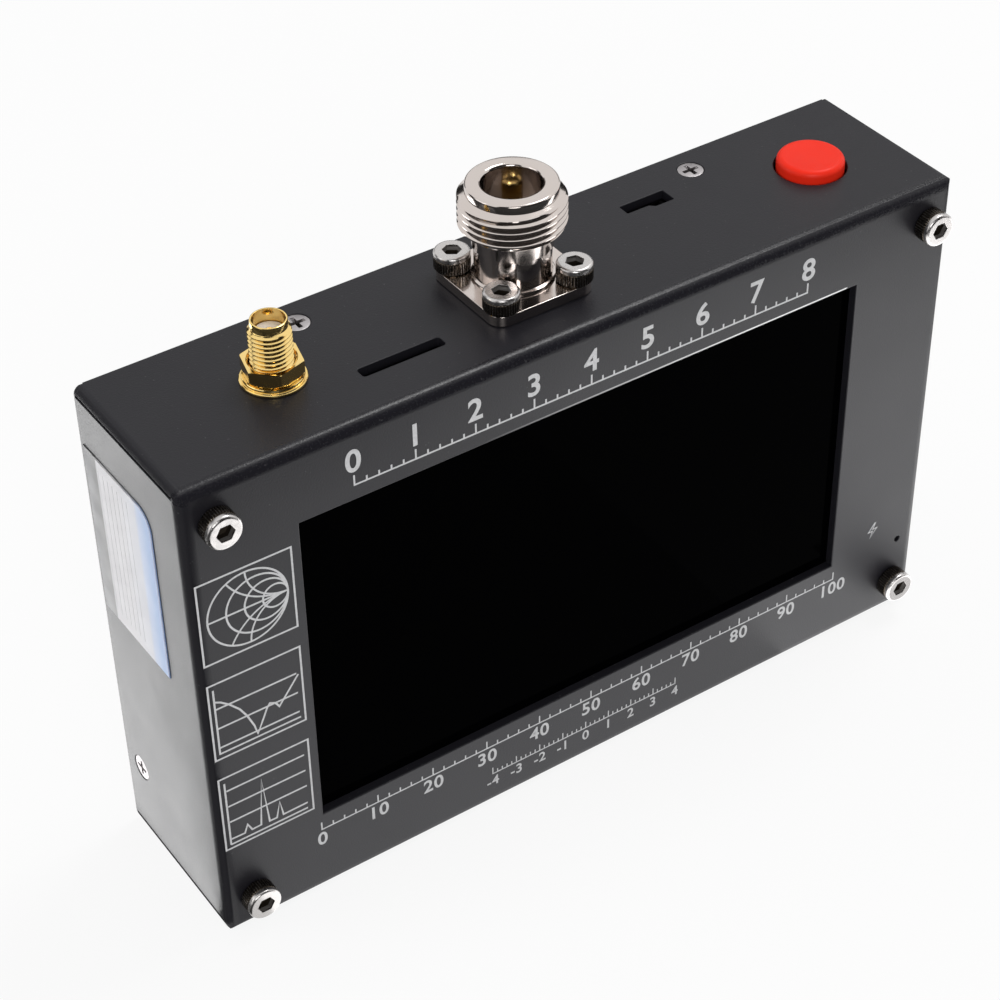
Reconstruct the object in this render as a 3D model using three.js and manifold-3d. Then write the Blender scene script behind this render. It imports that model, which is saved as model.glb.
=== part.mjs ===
import * as THREE from 'three';
import { mergeVertices } from 'three/addons/utils/BufferGeometryUtils.js';
import Module from 'manifold-3d';

// Antenna analyzer in a folded sheet-metal case, in millimetres. X runs along its width, Y from the screen
// face at -Y to the back cover, and Z up. The origin is the middle of the face that it stands on.

// Case, a folded pan that is open at the back
const caseWidth = 135;
const caseDepth = 30;
const caseHeight = 85;
const sheetThickness = 1.5;
const foldRadius = 2;
const wallEndRadius = 1.3;
const upperCornerRadius = 0.8;
const lowerCornerRadius = 2;
const seamWidth = 0.25;
const seamDepth = 0.3;

// Window, screws and pinhole of the front face
const windowFromLeft = 17.5;
const windowFromRight = 18.5;
const windowFromTop = 12.6;
const windowFromBottom = 15.8;
const frontScrewToSide = 3.5;
const frontScrewToTop = 4.8;
const pinholeDiameter = 1.1;
const pinholeInsetX = 4;
const pinholeHeight = 14.8;

// What sits along the top wall. The connectors and the button share one line across the case's depth.
const connectorShiftY = 0.6;
const largeConnectorX = -3.8;
const smallConnectorInset = 23.6;
const buttonInset = 15.8;
const cardToConnector = 22.8;
const chargeToConnector = 28.6;

// Slots of the top wall
const cardSlotWidth = 13.4;
const cardSlotHeight = 1.9;
const cardSlotRadius = 0.5;
const chargeSlotWidth = 8.1;
const chargeSlotHeight = 2.15;
const chargeStepWidth = 3.4;
const chargeStepHeight = 0.75;
const chargeStepSlant = 0.8;

// Clearances: between pieces that rest on each other, slide together, or pass through a hole
const seatGap = 0.05;
const slideGap = 0.2;
const boltGap = 0.2;
const cutOverrun = 1;

// Socket-head screws and nuts with a 3 mm thread
const boltDiameter = 3;
const boltHeadDiameter = 5.5;
const boltHeadHeight = 3;
const boltChamfer = 0.35;
const socketAcross = 2.5;
const socketDepth = 1.6;
const frontBoltLength = 12;
const flangeBoltLength = 8;
const nutAcross = 5.5;
const nutHeight = 2.4;

// Countersunk screws with a 2 mm thread, which hold the back cover
const coverScrewDiameter = 2;
const coverScrewHead = 4.1;
const coverScrewLength = 5;
const coverScrewRim = 0.15;
const coverScrewSink = 0.1;
const crossWidth = 0.6;
const crossLength = 2.4;
const crossDepth = 0.8;

// Back cover and its tabs
const coverScrewInset = 4.6;
const coverScrewLeftX = -34.5;
const coverScrewRightX = 36;
const coverScrewRiseZ = 14.75;
const tabWidth = 10;
const tabReach = 7.8;
const tabRoot = 4;
const tabReliefWidth = 0.8;
const tabReliefDepth = 2.2;
const tabBendRadius = 1.5;

// Large coaxial connector, with its square flange. Heights are from the top wall's outer face.
const flangeThickness = 1.8;
const flangeEdge = 2.4;
const flangeCornerRadius = 2.4;
const flangeHeadGap = 0.03;
const largeTipHeight = 17.3;
const largeLipDiameter = 13.6;
const largeLipHeight = 1.4;
const largeLipChamfer = 0.25;
const largeThreadDiameter = 15.88;
const largeThreadPitch = 1.058;
const largeThreadCount = 5;
const largeThreadDepth = 0.62;
const largeTaperHeight = 0.7;
const largeCollarDiameter = 12;
const largeCollarHeight = 2.6;
const largeBarrelDiameter = 11.4;
const largeBaseDiameter = 12.4;
const largeBaseHeight = 0.6;
const largeRearDiameter = 11.4;
const largeBoreDiameter = 8.9;
const largeBoreChamfer = 0.5;
const largeInsulatorHeight = 6;
const largeInsulatorRear = 2;
const largeContactDiameter = 3.04;
const largeContactBore = 1.7;
const largeContactBoreDepth = 5;
const largeContactSink = 5;
const largeContactSlotWidth = 0.4;
const largeContactSlotDepth = 4;

// Small coaxial connector, with its nut and washer
const smallTipHeight = 10.1;
const smallLipDiameter = 5.3;
const smallLipHeight = 1.2;
const smallThreadDiameter = 6.35;
const smallThreadPitch = 0.7056;
const smallThreadDepth = 0.36;
const smallThreadCount = 11;
const smallTaperHeight = 0.3;
const smallBoreDiameter = 4.65;
const smallInsulatorSink = 2;
const smallShoulderDiameter = 8.8;
const smallShoulderHeight = 1.8;
const smallRearDiameter = 5.8;
const smallRearHeight = 1.6;
const smallContactDiameter = 1.3;
const smallContactBore = 0.9;
const smallContactBoreDepth = 3;
const smallNutAcross = 8;
const smallNutHeight = 2.4;
const smallNutChamfer = 0.35;
const smallNutTurn = 16;
const smallWasherDiameter = 9.7;
const smallWasherThickness = 1.05;

// Solder pins that both connectors reach onto the radio board
const solderPinDiameter = 1;
const solderPinLength = 5.5;
const insulatorGap = 0.12;

// Power button and its push switch
const buttonDiameter = 10.6;
const buttonProud = 1.8;
const buttonHeight = 5;
const buttonEdgeRadius = 0.7;
const buttonDish = 0.3;
const buttonGap = 0.35;
const plungerWidth = 3.2;
const plungerSeatDepth = 3.4;
const plungerInSwitch = 4.5;
const plungerBoreSpare = 1.8;
const plungerGap = 0.15;
const switchWidth = 8;
const switchLength = 11.5;
const switchTopDrop = 4.5;

// Display stack, from the front face inwards
const glassGap = 0.1;
const glassThickness = 1.2;
const glassMargin = 2.6;
const displayMargin = 3.1;
const displayRimHeight = 5.3;
const displayThickness = 3;
const tapeThickness = 1.3;
const tapeMarginX = 8;
const tapeRise = 11.6;
const tapeToPost = 0.2;
const ribbonWidth = 26;
const ribbonThickness = 0.25;
const ribbonFoot = 2.2;
const ribbonDrop = 1.2;

// Main board, radio board and power board
const boardThickness = 1.6;
const boardEdgeGap = 0.8;
const boardNotchSpare = 0.8;
const boardNotchSide = 3.6;
const chipWidth = 14;
const chipHeight = 1.5;
const radioBoardGap = 0.55;
const radioBoardHeight = 58;
const radioBoardSide = 10;
const shieldInset = 5;
const shieldDrop = 6;
const shieldDepth = 4.1;
const shieldWall = 0.3;
const shieldRise = 3;
const headerLength = 25.4;
const headerWidth = 5;
const headerRise = 4;
const powerBoardHeight = 25;
const powerBoardDrop = 2;
const powerBoardLeft = 11.5;
const powerBoardRight = 5.6;
const switchAxisHeight = 3.6;
const postAcross = 5;
const postPinDiameter = 2.6;
const postBarbDiameter = 3.4;
const postBarbHeight = 0.9;
const postInset = 3.5;
const postSideInset = 3.5;

// Sockets behind the slots, and the charging light
const cardSocketWidth = 14.4;
const cardSocketHeight = 1.9;
const cardSocketLength = 15;
const cardCavityWidth = 11.4;
const cardCavityHeight = 1;
const cardCavityDepth = 12;
const chargeSocketWidth = 7.5;
const chargeSocketHeight = 2.7;
const chargeSocketLength = 5.6;
const chargeCavityWidth = 6.9;
const chargeCavityHeight = 1.85;
const chargeCavityDepth = 4.5;
const chargeTongueWidth = 3.6;
const chargeTongueHeight = 0.55;
const lampDiameter = 3;
const lampHeight = 4.6;
const lampFootDiameter = 3.4;
const lampFootHeight = 0.8;

// Battery pack and its leads
const batteryHeight = 50;
const batteryEdgeRadius = 2;
const batteryInset = 12;
const batteryToBoard = 7.3;
const batteryRise = 6.5;
const batteryToShield = 1.3;
const batteryTape = 0.1;
const leadDiameter = 1.2;
const leadSpacing = 2.2;
const leadDrop = 4;
const leadExit = 2.5;
const leadEndInset = 10.7;
const leadEndRise = 5;
const leadStand = 2.5;

// Label on the left wall
const labelThickness = 0.15;
const labelWidth = 19.7;
const labelHeight = 29.9;
const labelInsetY = 0.7;
const labelDrop = 9.5;
const labelCornerRadius = 3.4;

// Counts of flat sides that stand in for round ones
const foldSteps = 3;
const edgeSteps = 4;
const boltSides = 16;
const screwSides = 12;
const largeSides = 40;
const smallSides = 24;
const buttonSides = 32;
const hexSides = 6;
const leadSides = 8;
const leadSteps = 12;

// Planes that the pieces share
const sideX = caseWidth / 2;
const innerX = sideX - sheetThickness;
const frontY = -caseDepth / 2;
const backY = caseDepth / 2;
const innerFrontY = frontY + sheetThickness;
const innerBackY = backY - sheetThickness;
const innerTopZ = caseHeight - sheetThickness;
const windowLeft = windowFromLeft - sideX;
const windowRight = sideX - windowFromRight;
const windowLow = windowFromBottom;
const windowHigh = caseHeight - windowFromTop;
const frontScrewX = innerX - frontScrewToSide;
const frontScrewZ = [sheetThickness + frontScrewToTop, innerTopZ - frontScrewToTop];
const smallConnectorX = smallConnectorInset - sideX;
const buttonX = sideX - buttonInset;
const chargeX = largeConnectorX + chargeToConnector;
const cardX = largeConnectorX - cardToConnector;
const coverScrewY = backY - coverScrewInset;
const glassFrontY = innerFrontY + glassGap;
const displayFrontY = glassFrontY + glassThickness + seatGap;
const displayBackY = displayFrontY + displayThickness;
const boardFrontY = displayBackY + tapeThickness;
const boardBackY = boardFrontY + boardThickness;
const smallRearZ = -sheetThickness - seatGap - smallShoulderHeight - smallRearHeight;
const radioBackY = connectorShiftY - solderPinDiameter / 2 - seatGap;
const radioFrontY = radioBackY - boardThickness;
const powerFrontY = connectorShiftY + switchAxisHeight;
const powerBackY = powerFrontY + boardThickness;
const powerTopZ = innerTopZ - powerBoardDrop;
const powerLowZ = powerTopZ - powerBoardHeight;
const postZ = powerLowZ + postInset;
const switchTopZ = caseHeight - switchTopDrop - sheetThickness;
const boltRadius = boltDiameter / 2;
const flangeBoltReach = (largeBaseDiameter + boltHeadDiameter) / 2 + flangeHeadGap;
const flangeBoltSpacing = flangeBoltReach * Math.SQRT2;
const boltHole = boltRadius + boltGap;

const wasm = await Module();
wasm.setup();

// Closed geometry as a solid with its faces outward
function solid(geometry) {
  const bare = geometry.clone();
  bare.deleteAttribute('normal');
  bare.deleteAttribute('uv');
  const merged = mergeVertices(bare);
  const corners = merged.index.array;
  const kept = [];
  for (let i = 0; i < corners.length; i += 3) {
    const [a, b, c] = corners.slice(i, i + 3);
    if (a !== b && b !== c && c !== a) kept.push(a, b, c);
  }
  const make = (triangles) => new wasm.Manifold(new wasm.Mesh({
    numProp: 3,
    vertProperties: new Float32Array(merged.attributes.position.array),
    triVerts: new Uint32Array(triangles),
  }));
  const body = make(kept);
  return body.volume() > 0 ? body : make(kept.reverse());
}

function geometryOf(body) {
  const mesh = body.getMesh();
  const geometry = new THREE.BufferGeometry();
  geometry.setAttribute('position', new THREE.BufferAttribute(mesh.vertProperties, 3));
  geometry.setIndex(new THREE.BufferAttribute(mesh.triVerts, 1));
  geometry.computeVertexNormals();
  return geometry;
}

function joined(bodies) {
  return bodies.reduce((whole, body) => whole.add(body));
}

function without(body, cuts) {
  return cuts.reduce((rest, cut) => rest.subtract(cut), body);
}

// A box between two corners
function block([x0, y0, z0], [x1, y1, z1]) {
  const box = new THREE.BoxGeometry(x1 - x0, y1 - y0, z1 - z0);
  return solid(box.translate((x0 + x1) / 2, (y0 + y1) / 2, (z0 + z1) / 2));
}

// A flat outline pushed along an axis: drawn in y and z along x, in x and z along y, and in x and y along z
function prism(shape, axis, from, to, curveSegments = foldSteps) {
  const depth = to - from;
  const geometry = new THREE.ExtrudeGeometry(shape, { depth, bevelEnabled: false, curveSegments });
  if (axis === 'x') {
    const turn = new THREE.Matrix4().makeBasis(
      new THREE.Vector3(0, 1, 0),
      new THREE.Vector3(0, 0, 1),
      new THREE.Vector3(1, 0, 0),
    );
    geometry.applyMatrix4(turn).translate(from, 0, 0);
  } else if (axis === 'y') {
    geometry.rotateX(Math.PI / 2).translate(0, to, 0);
  } else {
    geometry.translate(0, 0, from);
  }
  return solid(geometry);
}

// A profile of radius and height pairs turned about Z
function turned(profile, sides) {
  const points = profile.map(([radius, height]) => new THREE.Vector2(radius, height));
  return solid(new THREE.LatheGeometry(points, sides).rotateX(Math.PI / 2));
}

function ring(inner, outer, from, to, sides) {
  return turned([[inner, from], [outer, from], [outer, to], [inner, to], [inner, from]], sides);
}

// A rectangle with its own radius at each corner: low left, low right, high right, high left
function roundedRectangle(x0, x1, y0, y1, radii) {
  const quarter = Math.PI / 2;
  const corners = [[x0, y0, 1, 1], [x1, y0, -1, 1], [x1, y1, -1, -1], [x0, y1, 1, -1]];
  const shape = new THREE.Shape();
  shape.moveTo(x0, y0 + radii[0]);
  corners.forEach(([x, y, inwardX, inwardY], i) => {
    const radius = radii[i];
    const start = Math.PI + i * quarter;
    if (radius > 0) shape.absarc(x + inwardX * radius, y + inwardY * radius, radius, start, start + quarter);
    else shape.lineTo(x, y);
  });
  shape.closePath();
  return shape;
}

function polygon(x, y, radius, sides, turn = 0) {
  const points = [];
  for (let i = 0; i < sides; i += 1) {
    const angle = turn + (2 * Math.PI * i) / sides;
    points.push(new THREE.Vector2(x + radius * Math.cos(angle), y + radius * Math.sin(angle)));
  }
  return new THREE.Shape(points);
}

function hexagon(across, turn = 0) {
  return polygon(0, 0, across / 2 / Math.cos(Math.PI / hexSides), hexSides, turn);
}

const analyzer = new THREE.Group();

const finishes = {
  blackPaint: { color: 0x2b2b2d, roughness: 0.5, metalness: 0 },
  nickel: { color: 0xc9c2b8, roughness: 0.22, metalness: 1 },
  gold: { color: 0xd9a93e, roughness: 0.2, metalness: 1 },
  steel: { color: 0xb8b8b8, roughness: 0.35, metalness: 1 },
  blackGlass: { color: 0x050506, roughness: 0.08, metalness: 0 },
  redPlastic: { color: 0xe3202a, roughness: 0.4, metalness: 0 },
  blackPlastic: { color: 0x151515, roughness: 0.5, metalness: 0 },
  whitePlastic: { color: 0xece9e2, roughness: 0.5, metalness: 0 },
  greenBoard: { color: 0x14512b, roughness: 0.45, metalness: 0 },
  foam: { color: 0x303030, roughness: 0.95, metalness: 0 },
  ribbon: { color: 0xb0741f, roughness: 0.45, metalness: 0 },
  battery: { color: 0x9aa3ad, roughness: 0.4, metalness: 0 },
  redWire: { color: 0xb01818, roughness: 0.5, metalness: 0 },
  blackWire: { color: 0x101010, roughness: 0.5, metalness: 0 },
  label: { color: 0xdfe2e6, roughness: 0.45, metalness: 0 },
  lamp: { color: 0xd8e8d0, roughness: 0.2, metalness: 0 },
};

function piece(name, body, finish, place = [0, 0, 0], turn = [0, 0, 0]) {
  const mesh = new THREE.Mesh(geometryOf(body), new THREE.MeshStandardMaterial(finishes[finish]));
  mesh.name = name;
  mesh.position.set(...place);
  mesh.rotation.set(...turn);
  analyzer.add(mesh);
}

// Turns that send a screw's own +Z, its head's way out, along the wall's outward direction
const outward = {
  front: [Math.PI / 2, 0, 0],
  left: [0, -Math.PI / 2, 0],
  right: [0, Math.PI / 2, 0],
  top: [0, 0, 0],
  bottom: [Math.PI, 0, 0],
};

// The places of the countersunk screws on the case's outer faces
const coverScrews = [
  { name: 'top_left', wall: 'top', place: [coverScrewLeftX, coverScrewY, caseHeight] },
  { name: 'top_right', wall: 'top', place: [coverScrewRightX, coverScrewY, caseHeight] },
  { name: 'bottom_left', wall: 'bottom', place: [coverScrewLeftX, coverScrewY, 0] },
  { name: 'bottom_right', wall: 'bottom', place: [coverScrewRightX, coverScrewY, 0] },
  { name: 'left_low', wall: 'left', place: [-sideX, coverScrewY, coverScrewRiseZ] },
  { name: 'left_high', wall: 'left', place: [-sideX, coverScrewY, caseHeight - coverScrewRiseZ] },
  { name: 'right_low', wall: 'right', place: [sideX, coverScrewY, coverScrewRiseZ] },
  { name: 'right_high', wall: 'right', place: [sideX, coverScrewY, caseHeight - coverScrewRiseZ] },
];

function placed(body, place, turn) {
  const euler = new THREE.Euler(...turn);
  const matrix = new THREE.Matrix4().makeRotationFromEuler(euler).setPosition(...place);
  return solid(geometryOf(body).applyMatrix4(matrix));
}

// Front shell: one sheet folded back on four sides, with the top and bottom walls over the side walls
function frontShell() {
  const across = roundedRectangle(-sideX, sideX, 0, caseHeight, Array(4).fill(wallEndRadius));
  const plan = roundedRectangle(-sideX, sideX, frontY, backY, [foldRadius, foldRadius, 0, 0]);
  const profile = roundedRectangle(frontY, backY, 0, caseHeight, [foldRadius, 0, 0, foldRadius]);
  const outer = prism(across, 'y', frontY, backY)
    .intersect(prism(plan, 'z', 0, caseHeight))
    .intersect(prism(profile, 'x', -sideX, sideX));
  const hollow = block([-innerX, innerFrontY, sheetThickness], [innerX, backY + cutOverrun, innerTopZ]);
  const cuts = [hollow, ...wallCorners(), ...seams(), ...frontCuts(), ...topCuts(), ...countersinks()];
  return without(outer, cuts);
}

// Rounds the rear corners of the two side walls
function wallCorners() {
  const cuts = [];
  for (const [z, radius, up] of [[0, lowerCornerRadius, 1], [caseHeight, upperCornerRadius, -1]]) {
    const shape = new THREE.Shape();
    const out = up * cutOverrun;
    shape.moveTo(backY - radius, z);
    const middle = z + up * radius;
    shape.absarc(backY - radius, middle, radius, -up * Math.PI / 2, 0, up < 0);
    shape.lineTo(backY + cutOverrun, middle);
    shape.lineTo(backY + cutOverrun, z - out);
    shape.lineTo(backY - radius, z - out);
    shape.closePath();
    cuts.push(prism(shape, 'x', -sideX - cutOverrun, -innerX));
    cuts.push(prism(shape, 'x', innerX, sideX + cutOverrun));
  }
  return cuts;
}

// The line where each end of the top and bottom walls meets a side wall
function seams() {
  const cuts = [];
  for (const z of [sheetThickness - seamWidth, innerTopZ]) {
    const back = backY + cutOverrun;
    const front = frontY + foldRadius;
    cuts.push(block([-sideX - cutOverrun, front, z], [-sideX + seamDepth, back, z + seamWidth]));
    cuts.push(block([sideX - seamDepth, front, z], [sideX + cutOverrun, back, z + seamWidth]));
  }
  return cuts;
}

function frontCuts() {
  const before = frontY - cutOverrun;
  const behind = innerFrontY + cutOverrun;
  const cuts = [block([windowLeft, before, windowLow], [windowRight, behind, windowHigh])];
  for (const x of [-frontScrewX, frontScrewX]) {
    for (const z of frontScrewZ) cuts.push(prism(polygon(x, z, boltHole, boltSides), 'y', before, behind));
  }
  const pinhole = polygon(sideX - pinholeInsetX, pinholeHeight, pinholeDiameter / 2, screwSides);
  cuts.push(prism(pinhole, 'y', before, behind));
  return cuts;
}

function flangeBolts() {
  const half = flangeBoltSpacing / 2;
  return [
    { name: 'front_left', x: largeConnectorX - half, y: connectorShiftY - half },
    { name: 'front_right', x: largeConnectorX + half, y: connectorShiftY - half },
    { name: 'back_right', x: largeConnectorX + half, y: connectorShiftY + half },
    { name: 'back_left', x: largeConnectorX - half, y: connectorShiftY + half },
  ];
}

function chargeSlotShape() {
  const left = chargeX - chargeSlotWidth / 2;
  const right = left + chargeSlotWidth;
  const back = powerBackY + chargeSocketHeight / 2 + chargeSlotHeight / 2;
  const front = back - chargeSlotHeight;
  const step = right - chargeStepWidth;
  return new THREE.Shape([
    new THREE.Vector2(left, front),
    new THREE.Vector2(step - chargeStepSlant, front),
    new THREE.Vector2(step, front - chargeStepHeight),
    new THREE.Vector2(right, front - chargeStepHeight),
    new THREE.Vector2(right, back),
    new THREE.Vector2(left, back),
  ]);
}

function topCuts() {
  const from = innerTopZ - cutOverrun;
  const to = caseHeight + cutOverrun;
  const largeHole = largeRearDiameter / 2 + boltGap;
  const smallHole = smallThreadDiameter / 2 + boltGap;
  const buttonHole = buttonDiameter / 2 + buttonGap;
  const cardY = boardBackY + cardSocketHeight / 2;
  const cardLeft = cardX - cardSlotWidth / 2;
  const cardFront = cardY - cardSlotHeight / 2;
  const card = roundedRectangle(
    cardLeft,
    cardLeft + cardSlotWidth,
    cardFront,
    cardFront + cardSlotHeight,
    Array(4).fill(cardSlotRadius),
  );
  const cuts = [
    prism(polygon(largeConnectorX, connectorShiftY, largeHole, largeSides), 'z', from, to),
    prism(polygon(smallConnectorX, connectorShiftY, smallHole, smallSides), 'z', from, to),
    prism(polygon(buttonX, connectorShiftY, buttonHole, buttonSides), 'z', from, to),
    prism(card, 'z', from, to),
    prism(chargeSlotShape(), 'z', from, to),
  ];
  for (const { x, y } of flangeBolts()) cuts.push(prism(polygon(x, y, boltHole, boltSides), 'z', from, to));
  return cuts;
}

// A hole with a cone at its mouth for each countersunk screw
function countersinks() {
  const hole = coverScrewDiameter / 2 + boltGap;
  const mouth = coverScrewHead / 2 + boltGap / 2;
  const below = -sheetThickness - cutOverrun;
  const rim = -coverScrewSink - coverScrewRim;
  const profile = [[0, below], [hole, below], [hole, rim + hole - mouth], [mouth, rim]];
  profile.push([mouth, cutOverrun], [0, cutOverrun]);
  const cut = turned(profile, screwSides);
  return coverScrews.map(({ wall, place }) => placed(cut, place, outward[wall]));
}

piece('front_shell', frontShell(), 'blackPaint');

// Back cover: a plate inside the walls, with a bent tab behind each countersunk screw
function coverTab() {
  const plateInner = -sheetThickness;
  const shape = new THREE.Shape();
  shape.moveTo(0, -tabRoot);
  shape.lineTo(0, -tabBendRadius);
  shape.absarc(-tabBendRadius, -tabBendRadius, tabBendRadius, 0, Math.PI / 2);
  shape.lineTo(-tabReach, 0);
  shape.lineTo(-tabReach, -sheetThickness);
  shape.lineTo(plateInner, -sheetThickness);
  shape.lineTo(plateInner, -tabRoot);
  shape.closePath();
  const strip = prism(shape, 'x', -tabWidth / 2, tabWidth / 2);
  const holeRadius = coverScrewDiameter / 2 + boltGap / 2;
  const hole = polygon(0, -coverScrewInset, holeRadius, screwSides);
  return strip.subtract(prism(hole, 'z', -sheetThickness - cutOverrun, cutOverrun));
}

function backCover() {
  const edgeX = innerX - slideGap;
  const edgeTop = innerTopZ - slideGap;
  const edgeBottom = sheetThickness + slideGap;
  const plate = block([-edgeX, innerBackY, edgeBottom], [edgeX, backY, edgeTop]);
  const tab = coverTab();
  const half = tabWidth / 2 + tabReliefWidth;
  const before = -sheetThickness - cutOverrun;
  const relief = block([-half, before, -tabReliefDepth], [half, cutOverrun, cutOverrun]);
  const turnTo = { top: 0, right: Math.PI / 2, bottom: Math.PI, left: -Math.PI / 2 };
  const seats = coverScrews.map(({ wall, place: [x, , z] }) => {
    const sides = {
      top: [x, backY, edgeTop],
      bottom: [x, backY, edgeBottom],
      left: [-edgeX, backY, z],
      right: [edgeX, backY, z],
    };
    return { place: sides[wall], turn: [0, turnTo[wall], 0] };
  });
  const cut = without(plate, seats.map(({ place, turn }) => placed(relief, place, turn)));
  return joined([cut, ...seats.map(({ place, turn }) => placed(tab, place, turn))]);
}

piece('back_cover', backCover(), 'blackPaint');

// Countersunk cross-recess screw, its origin on the wall's outer face
function coverScrew() {
  const radius = coverScrewDiameter / 2;
  const head = coverScrewHead / 2;
  const top = -coverScrewSink;
  const neck = top - coverScrewRim - (head - radius);
  const profile = [[0, -coverScrewLength], [radius, -coverScrewLength], [radius, neck]];
  profile.push([head, top - coverScrewRim], [head, top], [0, top]);
  const bar = [crossLength / 2, crossWidth / 2];
  const cross = [bar, [...bar].reverse()].map(([x, y]) => (
    block([-x, -y, top - crossDepth], [x, y, cutOverrun])
  ));
  return without(turned(profile, screwSides), cross);
}

const coverScrewBody = coverScrew();
for (const { name, wall, place } of coverScrews) {
  piece(`cover_screw_${name}`, coverScrewBody, 'steel', place, outward[wall]);
}

// Socket-head screw, its origin under the head
function socketBolt(length) {
  const head = boltHeadDiameter / 2;
  const profile = [
    [0, -length],
    [boltRadius - boltChamfer, -length],
    [boltRadius, boltChamfer - length],
    [boltRadius, 0],
    [head, 0],
    [head, boltHeadHeight - boltChamfer],
    [head - boltChamfer, boltHeadHeight],
    [0, boltHeadHeight],
  ];
  const socket = prism(hexagon(socketAcross), 'z', boltHeadHeight - socketDepth, boltHeadHeight + cutOverrun);
  return turned(profile, boltSides).subtract(socket);
}

// Nut, its origin on the face that it presses on, standing down from there
function nut() {
  const shape = hexagon(nutAcross, Math.PI / hexSides);
  shape.holes.push(polygon(0, 0, boltHole, boltSides));
  return prism(shape, 'z', -nutHeight - seatGap, -seatGap);
}

const frontBolt = socketBolt(frontBoltLength);
const nutBody = nut();
const spacerLength = boardFrontY - innerFrontY;
const spacerRadius = boltHeadDiameter / 2 - boltGap;
const spacerBody = ring(boltHole, spacerRadius, seatGap - spacerLength, -seatGap, boltSides);
for (const [side, x] of [['left', -frontScrewX], ['right', frontScrewX]]) {
  for (const [level, z] of [['lower', frontScrewZ[0]], ['upper', frontScrewZ[1]]]) {
    const corner = `${level}_${side}`;
    piece(`front_screw_${corner}`, frontBolt, 'nickel', [x, frontY - seatGap, z], outward.front);
    piece(`board_spacer_${corner}`, spacerBody, 'blackPlastic', [x, innerFrontY, z], outward.front);
    piece(`board_nut_${corner}`, nutBody, 'steel', [x, boardBackY, z], outward.front);
  }
}

// Screen glass, display module, foam tape and flat cable, one behind the other
const displayLeft = windowLeft - displayMargin;
const displayRight = windowRight + displayMargin;
const displayLow = windowLow - displayRimHeight;
const displayHigh = windowHigh + displayRimHeight;
piece(
  'screen_glass',
  block(
    [windowLeft - glassMargin, glassFrontY, windowLow - glassMargin],
    [windowRight + glassMargin, glassFrontY + glassThickness, windowHigh + glassMargin],
  ),
  'blackGlass',
);
piece(
  'display_module',
  block([displayLeft, displayFrontY, displayLow], [displayRight, displayBackY, displayHigh]),
  'blackPlastic',
);
piece(
  'display_tape',
  block(
    [displayLeft + tapeMarginX, displayBackY + seatGap, displayLow + tapeRise],
    [displayRight - tapeMarginX, boardFrontY - seatGap, postZ - postBarbDiameter / 2 - tapeToPost],
  ),
  'foam',
);

// The flat cable leaves the module's lower edge, bends over to the board and is soldered flat on it
function ribbon() {
  const start = displayFrontY + displayThickness / 2;
  const end = boardFrontY - seatGap - ribbonThickness;
  const top = displayLow - seatGap;
  const bend = (end - start) / 2;
  const upper = top - ribbonDrop;
  const lower = upper - 2 * bend;
  const shape = new THREE.Shape();
  shape.moveTo(start, top);
  shape.lineTo(start, upper);
  shape.absarc(start + bend, upper, bend, Math.PI, Math.PI + Math.PI / 2);
  shape.absarc(end - bend, lower, bend, Math.PI / 2, 0, true);
  shape.lineTo(end, lower - ribbonFoot);
  shape.lineTo(end + ribbonThickness, lower - ribbonFoot);
  shape.lineTo(end + ribbonThickness, lower);
  shape.absarc(end - bend, lower, bend + ribbonThickness, 0, Math.PI / 2);
  shape.absarc(start + bend, upper, bend - ribbonThickness, Math.PI + Math.PI / 2, Math.PI, true);
  shape.lineTo(start + ribbonThickness, top);
  shape.closePath();
  const middle = (displayLeft + displayRight) / 2;
  return prism(shape, 'x', middle - ribbonWidth / 2, middle + ribbonWidth / 2);
}

piece('display_ribbon', ribbon(), 'ribbon');

// Main board, notched under the large connector's screws, and its processor
const powerLeft = chargeX - powerBoardLeft;
const postPlaces = [['left', powerLeft + postSideInset], ['right', buttonX]];
const postHole = postPinDiameter / 2 + boltGap;

function mainBoard() {
  const edgeX = innerX - boardEdgeGap;
  const low = sheetThickness + boardEdgeGap;
  const high = innerTopZ - boardEdgeGap;
  const board = block([-edgeX, boardFrontY, low], [edgeX, boardBackY, high]);
  const reach = flangeBoltSpacing / 2 + boardNotchSide;
  const floor = caseHeight + flangeThickness - flangeBoltLength - boardNotchSpare;
  const before = boardFrontY - cutOverrun;
  const behind = boardBackY + cutOverrun;
  const cuts = [block(
    [largeConnectorX - reach, before, floor],
    [largeConnectorX + reach, behind, high + cutOverrun],
  )];
  for (const x of [-frontScrewX, frontScrewX]) {
    for (const z of frontScrewZ) cuts.push(prism(polygon(x, z, boltHole, boltSides), 'y', before, behind));
  }
  for (const [, x] of postPlaces) {
    cuts.push(prism(polygon(x, postZ, postHole, screwSides), 'y', before, behind));
  }
  return without(board, cuts);
}

piece('main_board', mainBoard(), 'greenBoard');
const chipLeft = (chargeX + buttonX - chipWidth) / 2;
const chipLow = (windowLow + windowHigh - chipWidth) / 2;
piece(
  'processor',
  block(
    [chipLeft, boardBackY + seatGap, chipLow],
    [chipLeft + chipWidth, boardBackY + chipHeight, chipLow + chipWidth],
  ),
  'blackPlastic',
);

// Radio board with its shield can, on a header that stands on the main board
const radioLeft = smallConnectorX - radioBoardSide;
const radioRight = largeConnectorX + radioBoardSide;
const radioTopZ = caseHeight + smallRearZ - radioBoardGap;
const radioLowZ = radioTopZ - radioBoardHeight;
piece(
  'radio_board',
  block([radioLeft, radioFrontY, radioLowZ], [radioRight, radioBackY, radioTopZ]),
  'greenBoard',
);

const shieldFrontY = radioBackY + seatGap;
const shieldBackY = shieldFrontY + shieldDepth;

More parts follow.
